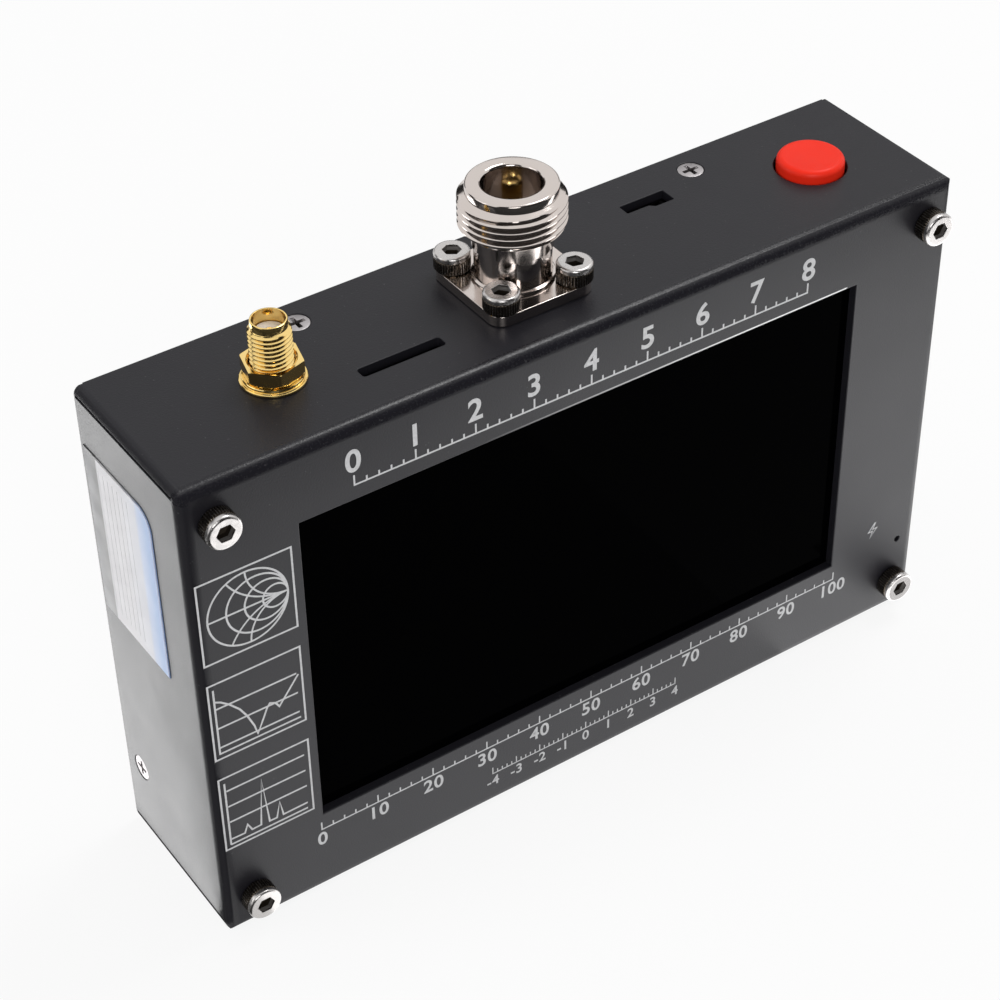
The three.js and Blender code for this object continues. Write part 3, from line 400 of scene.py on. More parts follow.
def tinted(look, factor, first, second):
    """Colour that goes from the first to the second."""
    mix = node(look, "Mix", {"Factor": factor}, data_type="RGBA")
    sockets = [socket for socket in mix.inputs if socket.type == "RGBA"]
    for socket, colour in zip(sockets, (first, second)):
        socket.default_value = (*colour, 1)
    return feed(look, "Base Color", next(socket for socket in mix.outputs if socket.type == "RGBA"))


def dulled(look, factor, low, high):
    """Roughness that varies between low and high."""
    return feed(look, "Roughness", spread(look, factor, low, high))


def embossed(look, height, depth, strength):
    """Relief from a height of 0 to 1, its depth in millimetres."""
    heights = {"Height": height, "Strength": strength, "Distance": depth * MM}
    return feed(look, "Normal", node(look, "Bump", heights).outputs["Normal"])


def finish(
    name, colour, roughness, metal=0.0, specular=0.5, clear=0.0, tint=None, dull=None, relief=None,
):
    """A painted, plated or moulded finish. Tint, dullness and relief start with grain and detail."""
    look = bpy.data.materials.new(name)
    look.use_nodes = True
    for socket, value in (
        ("Base Color", (*colour, 1)), ("Roughness", roughness), ("Metallic", metal),
        ("Specular IOR Level", specular), ("Transmission Weight", clear),
    ):
        look.node_tree.nodes["Principled BSDF"].inputs[socket].default_value = value
    for make, values in ((tinted, tint), (dulled, dull), (embossed, relief)):
        if values:
            make(look, mottle(look, *values[:2]), *values[2:])
    return look


COAT = (0.012, 0.0115, 0.015)
# Pale colour of the painted highlight over the window's rim, also used for faint real dust specks.
PALE_HIGHLIGHT_AND_DUST = (0.85, 0.85, 0.85)
RIM_HIGHLIGHT_FROM = -20
RIM_HIGHLIGHT_FULL = 28


def powder_coat():
    """Fine-grained satin black, glossier in spots over the top fold, with a painted highlight along the
    window's upper rim.
    """
    look = finish("powder_coat", COAT, 0.38, specular=0.25)
    axes = along(look)
    rim = WINDOW[3] + PUNCHED_EDGE
    # Painted highlight: a thin pale line on the front just above the window's top edge. It fades in from
    # x -20 to 28 mm and ends 2 mm short of the window's right end.
    rim_highlight = faded(look, axes["X"], RIM_HIGHLIGHT_FROM, RIM_HIGHLIGHT_FULL)
    for axis, start, end, low in (
        ("X", WINDOW[1] - 2.2, WINDOW[1] - 1.8, 1), ("Z", rim - 0.1, rim - 0.04, 0),
        ("Z", rim + 0.16, rim + 0.24, 1), ("Y", FRONT + 0.3, FRONT + 0.6, 1),
    ):
        rim_highlight = combined(look, "MULTIPLY", rim_highlight, faded(look, axes[axis], start, end, low, 1 - low))
    # Real dust: faint pale specks in the same pale colour.
    dust = spread(look, mottle(look, 0.5, 1), 0, 0.05, 0.73, 0.79)
    tinted(look, combined(look, "MAXIMUM", rim_highlight, dust), COAT, PALE_HIGHLIGHT_AND_DUST)
    glossy = faded(look, axes["Z"], TOP - FOLD - 0.3, TOP - FOLD)
    for share in (
        faded(look, axes["Y"], FRONT + 0.01, FRONT + 0.12),
        faded(look, axes["Y"], FRONT + FOLD - 0.2, FRONT + FOLD + 0.3, 1, 0),
        spread(look, mottle(look, 0.35, 1), 0.08, 0.24, 0.35, 0.65),
    ):
        glossy = combined(look, "MULTIPLY", glossy, share)
    satin = spread(look, mottle(look, 9, 3), 0.36, 0.4)
    feed(look, "Roughness", combined(look, "SUBTRACT", satin, glossy))
    return embossed(look, mottle(look, 0.3, 3, 0.6), 0.04, 0.8)


def dressed(shape, look, solid=None, body="case"):
    """Gives a piece its finish and its body, and hides the solid that it stands for."""
    shape.data.materials.clear()
    shape.data.materials.append(look)
    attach(shape, body)
    if solid:
        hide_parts(solid)


coat = powder_coat()
dressed(shell, coat, "front_shell")


# The back cover is a plate of the same sheet, inside the walls and flush with their rear rim. A tab is
# bent forward from each of its eight notched places, under the wall that its screw comes through.

COVER_GAP = 0.2
COVER_X = SIDE - SHEET - COVER_GAP
COVER_LOW = SHEET + COVER_GAP
COVER_HIGH = TOP - SHEET - COVER_GAP
COVER_CORNER = 0.6
NOTCH_HALF = 5.8
NOTCH_DEPTH = 2.2
TAB_HALF = 5
TAB_REACH = 7.8
TAB_ROOT = 4
TAB_BEND = 1.5
TAB_END = 0.15
TAPPED_HOLE = 1.1
SCREW_INSET = BACK - TAB_Y


def cover_tab():
    corners = [
        (0, -TAB_ROOT), (0, 0, TAB_BEND), (-TAB_REACH, 0, TAB_END), (-TAB_REACH, -SHEET, TAB_END),
        (-SHEET, -SHEET, 0.2), (-SHEET, -TAB_ROOT),
    ]
    tab = bar(list(reversed(eased(corners))), "x", -TAB_HALF, TAB_HALF, "tab")
    hole = circle(0, -SCREW_INSET, TAPPED_HOLE, 24)
    return carved(tab, bar(hole, "z", -SHEET - 1, 1))


seats = [((x, BACK, z), turn) for z, turn in ((COVER_HIGH, 0), (COVER_LOW, pi)) for x in TAB_X]
seats += [((side * COVER_X, BACK, z), side * QUARTER) for z in TAB_Z for side in (-1, 1)]
plate_outline = rectangle(-COVER_X, COVER_X, COVER_LOW, COVER_HIGH, COVER_CORNER)
plate = slab(plate_outline, "y", BACK - SHEET, BACK, PUNCHED_EDGE, "cover_plate")
for spot, turn in seats:
    notch = rectangle(-NOTCH_HALF, NOTCH_HALF, -NOTCH_DEPTH, 1)
    carved(plate, placed(bar(notch, "y", -SHEET - 1, 1), spot, (0, turn, 0)))
for spot, turn in seats:
    carved(plate, placed(cover_tab(), spot, (0, turn, 0)), "UNION")
dressed(polished(plate), coat, "back_cover")


# Eight small countersunk screws with a cross recess hold the cover, zinc plated and dull. Their heads
# sit a little below the paint, and a fine grain lies over each of them.

HEAD_RADIUS = 2.05
HEAD_TOP = -0.1
SCREW_LENGTH = 5
ZINC = (0.38, 0.36, 0.365)


def recessed(look, reach, top, depth):
    """1 inside a screw's recess and 0 on its face, by the distance from the axis and from the face."""
    flat = node(look, "Mapping", {"Vector": place_on(look), "Scale": (1, 1, 0)})
    away = node(look, "VectorMath", {0: flat.outputs[0]}, operation="LENGTH").outputs["Value"]
    inside = faded(look, away, reach - 0.08, reach, 1, 0)
    below = faded(look, along(look)["Z"], top - depth, top - 0.03, 1, 0)
    return combined(look, "MULTIPLY", inside, below)


def spun(name, rows, sides):
    """A turned piece. A row is (radius, height), where either may depend on the angle."""
    points, faces = [], []
    for radius, height in rows:
        for i in range(sides + 1):
            angle = tau * i / sides
            r, z = [value(angle) if callable(value) else value for value in (radius, height)]
            points.append((r * cos(angle), r * sin(angle), z))
    for row in range(len(rows) - 1):
        for i in range(sides):
            low, high = [(row + k) * (sides + 1) + i for k in (0, 1)]
            faces.append((low, low + 1, high + 1, high))
    return made(name, points, faces)


def thread(low, high, root, crest, pitch, limit):
    """Rows of a screw thread between two heights, kept inside the limit radius of each height."""
    def row(start, reach):
        def height(angle):
            return min(high, max(low, start + pitch * angle / tau))
        return (lambda angle: min(reach, limit(height(angle))), height)

    form = ((0.0, 0.0), (0.14, 0.0), (0.32, 0.5), (0.5, 1.0), (0.62, 1.0), (0.8, 0.5))
    return [
        row(low - pitch + pitch * (turn + part), root + (crest - root) * share)
        for turn in range(ceil((high - low) / pitch) + 2) for part, share in form
    ]


def cross_screw(name):
    shank = thread(-SCREW_LENGTH + 0.3, -1.5, 0.8, 1, 0.4, lambda z: min(1, 5.5 + z, -0.7 - z))
    rows = [(0, -SCREW_LENGTH), (0.6, -SCREW_LENGTH), *shank, (1, -1.3), (HEAD_RADIUS, -0.32)]
    rows += [(HEAD_RADIUS, -0.2), (HEAD_RADIUS - 0.03, -0.13), (HEAD_RADIUS - 0.1, HEAD_TOP)]
    screw = spun(name, [*rows, (0, HEAD_TOP)], 48)
    for turn in (0, QUARTER):
        rings = []
        for long, wide, z in (
            (1.5, 0.38, 0.5), (1.38, 0.33, HEAD_TOP - 0.1), (0.6, 0.22, HEAD_TOP - 0.85),
        ):
            rings.append(at_height(rectangle(-long, long, -wide, wide, 0.1, 3), z))
        carved(screw, placed(lofted(rings), (0, 0, 0), (0, 0, turn)))
    return polished(screw)


zinc, screw_zinc = [
    finish(name, ZINC, 0.42, 1.0, dull=(0.6, 3, 0.34, 0.5), relief=(0.12, 2, 0.004, 0.4))
    for name in ("zinc_plated_steel", "screw_zinc")
]
# Painted shade: the cross recess of each cover screw head is coloured nearly black.
tinted(screw_zinc, recessed(screw_zinc, 1.65, HEAD_TOP, 0.7), ZINC, (0.08, 0.07, 0.065))
for name, spot, turn in COVER_SCREWS:
    screw = placed(cross_screw("cover_screw_head_" + name), spot, turn)
    dressed(screw, screw_zinc, "cover_screw_" + name)


# Behind the window lie a sheet of black-backed glass, the display module in its moulded frame and a
# layer of foam tape, pressed against the sheet by the main board. A flat cable joins module and board.

GLASS_EDGE = 2.6
GLASS_FRONT = -13.4
GLASS_BACK = -12.2


def pitted(look, grain, start, end, first, second, depth, strength):
    """Fine pits that are darker than the face between them."""
    pits = mottle(look, grain, 3, 0.7)
    tinted(look, spread(look, pits, 0, 1, start, end), first, second)
    embossed(look, pits, depth, strength)


def flat_cable():
    look = finish("flat_cable_film", (0.35, 0.13, 0.02), 0.35)
    bands = {"Vector": place_on(look), "Scale": 160.0}
    copper = node(look, "TexWave", bands, bands_direction="X").outputs["Fac"]
    tinted(look, spread(look, copper, 0, 1, 0.45, 0.55), (0.42, 0.17, 0.03), (0.25, 0.08, 0.012))
    return embossed(look, copper, 0.02, 0.5)


def in_finish(look, *names):
    """Gives solids that stay in sight their real finish."""
    for name in names:
        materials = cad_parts[name].data.materials
        materials.clear()
        materials.append(look)


foam = finish("foam_tape", (0.03, 0.03, 0.03), 0.9)
pitted(foam, 0.35, 0.3, 0.7, (0.02, 0.02, 0.02), (0.05, 0.05, 0.05), 0.12, 0.8)
black_glass = finish(
    "screen_glass_black", (0.0004, 0.0004, 0.0005), 0.06, specular=0.001, dull=(14, 2, 0.04, 0.09),
)
plastic = finish(
    "black_moulded_plastic", (0.012, 0.012, 0.013), 0.45, dull=(1.2, 3, 0.38, 0.52),
    relief=(0.25, 2, 0.01, 0.3),
)
glass_sides = [side + way * GLASS_EDGE for side, way in zip(WINDOW, (-1, 1, -1, 1))]
glass = slab(rectangle(*glass_sides, 0.5), "y", GLASS_FRONT, GLASS_BACK, 0.15, "cover_glass")
dressed(polished(glass), black_glass, "screen_glass")
in_finish(plastic, "display_module")
in_finish(foam, "display_tape")
in_finish(flat_cable(), "display_ribbon")


# Light grey ink is screen printed on the front: three framed diagrams to the left of the screen, and
# plain scales with numbers above and below it. The ink lies a few hundredths of a millimetre proud.

INK = 0.02
INK_SINK = 0.01
INK_LAYER = 2e-4
LINE = 0.3
THIN_LINE = 0.27
CHART_LEFT = -66.5
CHART_RIGHT = -51.6
LETTER_SIZE = 1.42
LETTER_SPACE = 1.08
LONG_TICK_EVERY = 5
OUT_FRONT = (QUARTER, 0, 0)


def printed_line(path, width, closed, layer):
    """A thin bar of ink with mitred corners, each layer a little prouder than the last."""
    path = [Vector(point) for point in path]
    last = len(path) - 1
    points, faces = [], []
    for i, here in enumerate(path):
        before = here - path[i - 1] if closed or i else path[1] - here
        after = path[(i + 1) % len(path)] - here if closed or i < last else before
        first, second = [Vector((-way.y, way.x)) for way in (before.normalized(), after.normalized())]
        mitre = (first + second) * width / 2 / max(0.4, 1 + first.dot(second))
        for y in (FRONT + INK_SINK, FRONT - INK - layer * INK_LAYER):
            points += [(edge.x, y, edge.y) for edge in (here + mitre, here - mitre)]
    for i in range(len(path) if closed else last):
        j = (i + 1) % len(path)
        for a, b in ((0, 1), (1, 3), (3, 2), (2, 0)):
            faces.append((4 * i + a, 4 * j + a, 4 * j + b, 4 * i + b))
    if not closed:
        faces += [tuple(4 * i + k for k in (0, 1, 3, 2)) for i in (0, last)]
    return points, faces


def printed(lines):
    """The points and faces of many lines (path, width, closed)."""
    points, faces = [], []
    for layer, line in enumerate(lines):
        line_points, line_faces = printed_line(*line, layer)
        faces += [tuple(len(points) + k for k in face) for face in line_faces]
        points += line_points
    return points, faces


def inked(name, lines):
    return made(name, *printed(lines), welded=False)


def bend(a, b, radius, first, last, steps=28):
    angles = [first + (last - first) * i / steps for i in range(steps + 1)]
    return [(a + radius * cos(t), b + radius * sin(t)) for t in angles]


def ring(a, b, radius, steps=56):
    return (bend(a, b, radius, 0, tau, steps)[:-1], LINE, True)


def framed(low, high):
    corners = [(CHART_LEFT, low), (CHART_RIGHT, low), (CHART_RIGHT, high), (CHART_LEFT, high)]
    return (corners, LINE, True)


def impedance_chart():
    """Circles of resistance and arcs of reactance that meet at the right end of the axis."""
    a, b, radius = -58.95, 61.85, 6.35
    lines = [framed(54.54, 69.06), ring(a, b, radius, 72)]
    for resistance in (0.3, 0.85, 2.2):
        inner = radius / (1 + resistance)
        lines.append(ring(a + radius * resistance / (1 + resistance), b, inner))
    for reactance in (0.6, 1.0):
        for sign in (1, -1):
            size = reactance * reactance
            middle = Vector((1, sign / reactance))
            reach = Vector(((size - 1) / (size + 1), sign * 2 * reactance / (size + 1))) - middle
            first, last = atan2(-middle.y, 0), atan2(reach.y, reach.x)
            if sign * (last - first) > 0:
                last -= sign * tau
            path = bend(a + middle.x * radius, b + middle.y * radius, radius / reactance, first, last)
            lines.append((path, THIN_LINE, False))
    return [*lines, ([(a - radius, b), (a + radius, b)], LINE, False)]


def plot(low, high, paths):
    """A framed plot, its lines given in shares of its width and of its height down from the top."""
    lines = [framed(low, high)]
    for path in paths:
        spots = [(CHART_LEFT + x * (CHART_RIGHT - CHART_LEFT), high - y * (high - low)) for x, y in path]
        lines.append((spots, LINE, False))
    return lines


response_paths = [
    [(0.055, 0.07), (0.055, 0.94)], [(0.055, 0.93), (0.95, 0.93)],
    *[[(0.065, y), (0.94, y)] for y in (0.33, 0.59, 0.85)],
    [(0.065, 0.23), (0.12, 0.26), (0.21, 0.34), (0.31, 0.46), (0.38, 0.59), (0.445, 0.76), (0.474, 0.89),
     (0.54, 0.74), (0.60, 0.60), (0.63, 0.56), (0.69, 0.59), (0.73, 0.66), (0.96, 0.35)],
]
spectrum_paths = [
    [(0.058, 0.077), (0.058, 0.945)], [(0.058, 0.945), (0.936, 0.945)],
    *[[(0.073, y), (0.945, y)] for y in (0.19, 0.41, 0.63)],
    [(0.07, 0.872), (0.22, 0.877), (0.257, 0.774), (0.303, 0.874), (0.405, 0.87), (0.455, 0.24),
     (0.502, 0.875), (0.585, 0.877), (0.63, 0.67), (0.66, 0.874), (0.938, 0.87)],
]
print_ink = finish("light_grey_ink", (0.55, 0.55, 0.56), 0.5)
pitted(print_ink, 0.4, 0.25, 0.6, (0.46, 0.46, 0.47), (0.58, 0.58, 0.59), 0.006, 0.4)
charts = impedance_chart() + plot(36.36, 50.69, response_paths) + plot(17.9, 32.38, spectrum_paths)
dressed(inked("printed_diagrams", charts), print_ink)


def numbers(name, marks, size, weight):
    """Numbers printed on the front, each (text, x, z of its foot), centred on x."""
    shapes = []
    for text, x, z in marks:
        letters = bpy.data.curves.new(name, "FONT")
        letters.body, letters.align_x = text, "CENTER"
        letters.size = size * LETTER_SIZE * MM
        letters.extrude = (INK + INK_SINK) / 2 * MM
        letters.offset = weight * MM
        letters.space_character = LETTER_SPACE
        shape = placed(put_in("letters", letters), (x, FRONT - (INK - INK_SINK) / 2, z), OUT_FRONT)
        mesh = settled(shape)
        mesh.transform(shape.matrix_world)
        shapes.append(put_in(name, mesh))
        bpy.data.objects.remove(shape)
    return together(shapes)


def ruler(left, right, foot, steps, long_tick, short_tick, width):
    """Upright ticks on a base line, with long ones among them."""
    lines = [([(left - width / 2, foot), (right + width / 2, foot)], width, False)]
    for step in range(steps + 1):
        x = left + (right - left) * step / steps
        rise = short_tick if step % LONG_TICK_EVERY else long_tick
        lines.append(([(x, foot + width / 2), (x, foot + rise)], width, False))
    return lines


for name, values, left, right, foot, figures, ticks in (
    ("upper_scale", range(9), -41, 39, 77.4, (3.7, 0.1), (75, 40, 1.7, 0.8, 0.28)),
    ("lower_scale", range(0, 101, 10), -50.5, 49.5, 9.6, (2.5, 0.06), (12.7, 50, 1.5, 0.8, 0.24)),
    ("centre_scale", range(-4, 5), -19.5, 16.5, 4.1, (1.9, 0.04), (6.6, 40, 1.3, 0.7, 0.2)),
):
    apart = (right - left) / (len(values) - 1)
    marks = [(str(value), left + apart * i, foot) for i, value in enumerate(values)]
    dressed(numbers(name + "_numbers", marks, *figures), print_ink)
    dressed(inked(name, ruler(left, right, *ticks)), print_ink)

bolt_mark = [
    (57.9, 20.9), (56.7, 19.3), (57.6, 19.3), (57.1, 17.9), (58.5, 19.7), (57.6, 19.7), (58.1, 20.9),
]
dressed(inked("charge_mark", [(bolt_mark, 0.2, True)]), print_ink)


# Four socket-head screws hold the board stack to the front, each through a plastic spacer and into a nut
# behind the board. They are nickel plated: the head's side is knurled, its rim rolled over.

BOLT = 1.5
BOLT_CORE = 1.22
BOLT_PITCH = 0.5
BOLT_HEAD = 2.75
BOLT_RISE = 3
BOLT_SIDES = 168
SOCKET = 2.5
RIBS = 42
UNDER_HEAD = 0.05
BOARD_BACK = -6.25
SCREW_NICKEL = (0.56, 0.54, 0.53)


def screw_plate():
    look = finish("screw_nickel", SCREW_NICKEL, 0.26, 1.0, relief=(0.15, 2, 0.004, 0.35))
    # Painted shade: the hexagon socket is tinted partly dark. The knurled side of the head and
    # everything below it are tinted fully dark, standing in for the shade and dark reflections on them.
    socket = recessed(look, 1.55, BOLT_RISE - 0.1, 0.4)
    painted_dark_side = recessed(look, BOLT_HEAD + 0.04, 2.1, 0.06)
    shaded = combined(look, "MULTIPLY_ADD", socket, 0.3, painted_dark_side)
    tinted(look, shaded, SCREW_NICKEL, (0.08, 0.065, 0.05))
    plated = spread(look, mottle(look, 0.8, 3), 0.2, 0.34)
    return feed(look, "Roughness", combined(look, "MULTIPLY_ADD", socket, 0.45, plated))


def hexagonal(across_flats, turn=0.0):
    """Radius of a hexagon's edge at each angle."""
    return lambda angle: across_flats / 2 / cos((angle - turn) % (pi / 3) - pi / 6)


def socket_screw(name, length):
    """A socket-head screw, its foot under the head."""
    def knurl(angle):
        return BOLT_HEAD - 0.1 * (0.5 - 0.5 * cos(RIBS * angle)) ** 0.7

    low = -length + 0.01
    end = BOLT_CORE - 0.25
    hexagon = hexagonal(SOCKET)
    rows = [(0, -length), (end, -length)]
    rows += thread(
        low, -1.0, BOLT_CORE, BOLT, BOLT_PITCH, lambda z: min(BOLT, end + (z - low), BOLT_CORE - 1 - z)
    )
    rows += [(BOLT - 0.05, -0.8), (BOLT - 0.05, 0), (BOLT_HEAD - 0.2, 0)]
    rows += [(BOLT_HEAD - 0.12, 0.12), (knurl, 0.25), (knurl, 1.92), (BOLT_HEAD - 0.13, 2)]
    rows += [(BOLT_HEAD - 0.13, 2.06), (BOLT_HEAD - 0.02, 2.14)]
    rows += [(BOLT_HEAD - 0.02 - inset, BOLT_RISE - 0.45 + rise) for inset, rise in (
        (0, 0), (0.02, 0.13), (0.08, 0.25), (0.17, 0.35), (0.28, 0.42), (0.4, 0.45), (0.48, 0.45),
    )]
    rows += [(lambda angle: hexagon(angle) + 0.05, BOLT_RISE), (hexagon, BOLT_RISE - 0.06)]
    rows += [(hexagon, BOLT_RISE - 1.7), (1.15, BOLT_RISE - 1.75), (0, BOLT_RISE - 2.35)]
    return polished(spun(name, rows, BOLT_SIDES), 28)


def hexagon_rows(flats, rows):
    """Rows (reach, height) of a turned shape that is cut to a hexagon."""
    return [(lambda angle, reach=reach: min(reach, flats(angle)), height) for reach, height in rows]


def hexagon_nut(name):
    """A nut with chamfered corners, drawn down from the face that it presses on."""
    rows = hexagon_rows(
        hexagonal(5.5, pi / 6), ((2.72, -0.05), (3.2, -0.3), (3.2, -2.15), (2.72, -2.45))
    )
    rows += [(1.75, -2.45), (1.5, -2.25), (1.5, -0.25), (1.75, -0.05), rows[0]]
    return polished(spun(name, rows, 72), 28)


screw_nickel = screw_plate()
for name, (x, z) in zip(("lower_left", "upper_left", "lower_right", "upper_right"), FRONT_SCREWS):
    screw = placed(socket_screw("front_bolt_" + name, 12), (x, FRONT - UNDER_HEAD, z), OUT_FRONT)
    dressed(screw, screw_nickel, "front_screw_" + name)
    nut = placed(hexagon_nut("board_hexagon_nut_" + name), (x, BOARD_BACK, z), OUT_FRONT)
    dressed(nut, zinc, "board_nut_" + name)
    in_finish(plastic, "board_spacer_" + name)


# Behind the screen stands the stack of boards: a main board across the whole case, a radio board on a
# header with its shield can soldered on, and a power board on two moulded posts.

BOARD_GREEN = (0.01, 0.075, 0.03)
TRACK_GREEN = (0.035, 0.15, 0.06)


def circuit_board():
    look = finish("green_circuit_board", BOARD_GREEN, 0.35, dull=(3, 2, 0.3, 0.42))
    grid = {"Vector": place_on(look), "Scale": 420.0, "Mortar Size": 0.03}
    tracks = node(look, "TexBrick", grid).outputs["Fac"]
    tinted(look, tracks, BOARD_GREEN, TRACK_GREEN)
    return embossed(look, tracks, 0.03, 0.5)


chip_plastic = finish("chip_moulding", (0.018, 0.018, 0.019), 0.6, relief=(0.08, 2, 0.006, 0.5))
white_nylon = finish(
    "white_nylon", (0.75, 0.74, 0.7), 0.42, tint=(3, 2, (0.7, 0.69, 0.64), (0.78, 0.77, 0.74)),
    relief=(0.3, 2, 0.008, 0.3),
)
in_finish(circuit_board(), "main_board", "radio_board", "power_board")
in_finish(chip_plastic, "processor")
in_finish(plastic, "board_header")
in_finish(zinc, "shield_can")
in_finish(white_nylon, "board_post_left", "board_post_right")


# The large coaxial connector is turned brass with a warm nickel plate. Its square flange is held to the
# top wall by four socket-head screws, and its slotted centre contact is gold plated.

LARGE = (LARGE_X, LINE_Y, TOP)
LARGE_SIDES = 128
LARGE_BORE = 4.45
LARGE_NECK = 5.7
LARGE_CREST = 7.94
LARGE_ROOT = 7.32
LARGE_PITCH = 1.058
THREAD_LOW = 9.91
THREAD_HIGH = 15.9
FLANGE = 1.8
FLANGE_CORNER = 2.4
FLANGE_BORE = 5.1
CONTACT_TOP = 12.3
CONTACT_SLOT = 0.2


def large_connector():
    def limit(height):
        return min(LARGE_CREST, 6.85 + (height - THREAD_LOW) * 1.3, 6.8 + (THREAD_HIGH - height) * 1.63)

    rows = [(LARGE_BORE, -1.5), (LARGE_NECK, -1.5), (LARGE_NECK, 0.9), (6.2, 0.9), (6.2, 2.12)]
    rows += [(6.14, 2.24), (6.02, 2.3), (5.9, 2.32), (5.76, 2.4), (LARGE_NECK, 2.56), (LARGE_NECK, 7.16)]
    rows += [(5.78, 7.28), (5.9, 7.31), (6, 7.4), (6, 9.76), (6.06, 9.88), (6.16, THREAD_LOW)]
    rows += [(6.85, THREAD_LOW)]
    rows += thread(THREAD_LOW, THREAD_HIGH, LARGE_ROOT, LARGE_CREST, LARGE_PITCH, limit)
    rows += [(6.8, THREAD_HIGH), (6.8, 17.02), (6.76, 17.12), (6.58, 17.27), (6.48, 17.3)]
    mouth = [QUARTER * step / 8 for step in range(9)]
    rows += [(LARGE_BORE + 0.5 - 0.5 * sin(t), 16.8 + 0.5 * cos(t)) for t in mouth]
    body = spun("large_connector", [*rows, rows[0]], LARGE_SIDES)
    half = FLANGE_HALF + FLANGE_CORNER
    flange = slab(rectangle(-half, half, -half, half, FLANGE_CORNER, 10), "z", 0.05, FLANGE, 0.16)
    holes = [circle(0, 0, FLANGE_BORE, 64)]
    holes += [circle(a * FLANGE_HALF, b * FLANGE_HALF, SCREW_HOLE, 32) for a in (-1, 1) for b in (-1, 1)]
    cuts = together([bar(hole, "z", -1, FLANGE + 1) for hole in holes])
    return polished(carved(body, carved(flange, cuts), "UNION"), 30)


def large_contact():
    rows = [(0, -9), (0.4, -9), (0.5, -8.9), (0.5, -3.5), (1.52, -3.5), (1.52, 11.9), (1.46, 12.15)]
    rows += [(1.3, CONTACT_TOP), (0.95, CONTACT_TOP), (0.85, 12.2), (0.85, 7.3), (0, 7.3)]
    contact = spun("large_contact", rows, 48)
    for wide, deep in ((3, CONTACT_SLOT), (CONTACT_SLOT, 3)):
        carved(contact, bar(rectangle(-wide, wide, -deep, deep), "z", 8.3, 13))
    return polished(contact, 30)


def large_insulator():
    rows = [(1.64, -3.5), (4.33, -3.5), (4.33, 5.9), (4.25, 6), (1.7, 6), (1.64, 5.9)]
    return polished(spun("large_insulator", [*rows, rows[0]], 96))


nickel = finish(
    "nickel_plate", (0.62, 0.56, 0.525), 0.12, 1.0, dull=(2.5, 3, 0.08, 0.17),
    relief=(0.5, 3, 0.003, 0.25),
)
gold = finish(
    "gold_plate", (0.89, 0.65, 0.25), 0.14, 1.0, dull=(1.5, 3, 0.1, 0.2), relief=(0.4, 2, 0.003, 0.3),
)
insulator = finish(
    "white_insulator", (0.8, 0.77, 0.73), 0.4, tint=(1.2, 2, (0.74, 0.7, 0.66), (0.84, 0.81, 0.78)),
)
for shape, look, slot, part in (
    (large_connector(), nickel, "nickel", "shell"), (large_contact(), gold, "gold", "contact"),
    (large_insulator(), insulator, "white_plastic", "insulator"),
):
    dressed(placed(shape, LARGE), look, "n_connector_" + part)

flange_names = ("front_left", "back_left", "front_right", "back_right")
for name, (x, y), spin in zip(flange_names, FLANGE_BOLTS, (0.2, 0.45, 0.8, 0.1)):
    spot = (x, y, TOP + FLANGE + UNDER_HEAD)
    screw = placed(socket_screw("flange_bolt_" + name, 8), spot, (0, 0, spin))
    dressed(screw, screw_nickel, "flange_screw_" + name)
    nut = placed(hexagon_nut("flange_hexagon_nut_" + name), (x, y, TOP - SHEET))
    dressed(nut, zinc, "flange_nut_" + name)


# The small coaxial connector is gold plated all over. Its threaded barrel comes up through the top wall
# and is held by a thin hexagon nut on a stepped washer.

SMALL = (SMALL_X, LINE_Y, TOP)
SMALL_SIDES = 96
SMALL_BORE = 2.325
SMALL_FOOT = -4.95
SMALL_CREST = 3.1
SMALL_ROOT = 2.74
SMALL_PITCH = 0.7056
BARREL_LOW = -1.55
BARREL_HIGH = 8.9
NUT_FLATS = 8
NUT_TURN = radians(16)


def small_connector():
    def limit(height):
        return min(SMALL_CREST, 2.7 + height - BARREL_LOW, 2.65 + (BARREL_HIGH - height) * 1.3)

    rows = [(SMALL_BORE, SMALL_FOOT), (2.9, SMALL_FOOT), (2.9, -3.35), (4.3, -3.35), (4.4, -3.25)]
    rows += [(4.4, -1.65), (4.3, BARREL_LOW), (2.7, BARREL_LOW)]
    rows += thread(BARREL_LOW, BARREL_HIGH, SMALL_ROOT, SMALL_CREST, SMALL_PITCH, limit)
    rows += [(2.65, BARREL_HIGH), (2.65, 9.94), (2.6, 10.06), (2.53, 10.1), (2.42, 10.1), (2.36, 10.06)]
    rows += [(SMALL_BORE, 9.98), rows[0]]
    return polished(spun("small_connector", rows, SMALL_SIDES), 30)


def small_nut():
    rows = hexagon_rows(hexagonal(NUT_FLATS, NUT_TURN), (
        (4.02, 1.1), (4.16, 1.24), (4.3, 1.38), (4.46, 1.53), (4.7, 1.7), (4.7, 3.38), (4.6, 3.45),
        (4.5, 3.5),
    ))
    rows += [(3.62, 3.5), (3.24, 3.15), (3.24, 1.45), (3.6, 1.1), rows[0]]
    return polished(spun("small_nut", rows, 180), 24)


def small_washer():
    rows = [(3.38, 0.05), (4.72, 0.05), (4.81, 0.1), (4.85, 0.25), (4.82, 0.42), (4.72, 0.5)]
    rows += [(4.48, 0.5), (4.42, 0.54), (4.46, 0.62), (4.48, 0.78), (4.45, 0.95), (4.36, 1.05)]
    rows += [(3.45, 1.05), (3.38, 0.98), rows[0]]
    return polished(spun("small_washer", rows, SMALL_SIDES), 30)


def small_contact():
    rows = [(0, -10.4), (0.4, -10.4), (0.5, -10.3), (0.5, SMALL_FOOT), (0.65, SMALL_FOOT), (0.65, 7.98)]
    rows += [(0.58, 8.1), (0.52, 8.1), (0.45, 8.02), (0.45, 5.1), (0, 5.1)]
    return polished(spun("small_contact", rows, 32), 30)


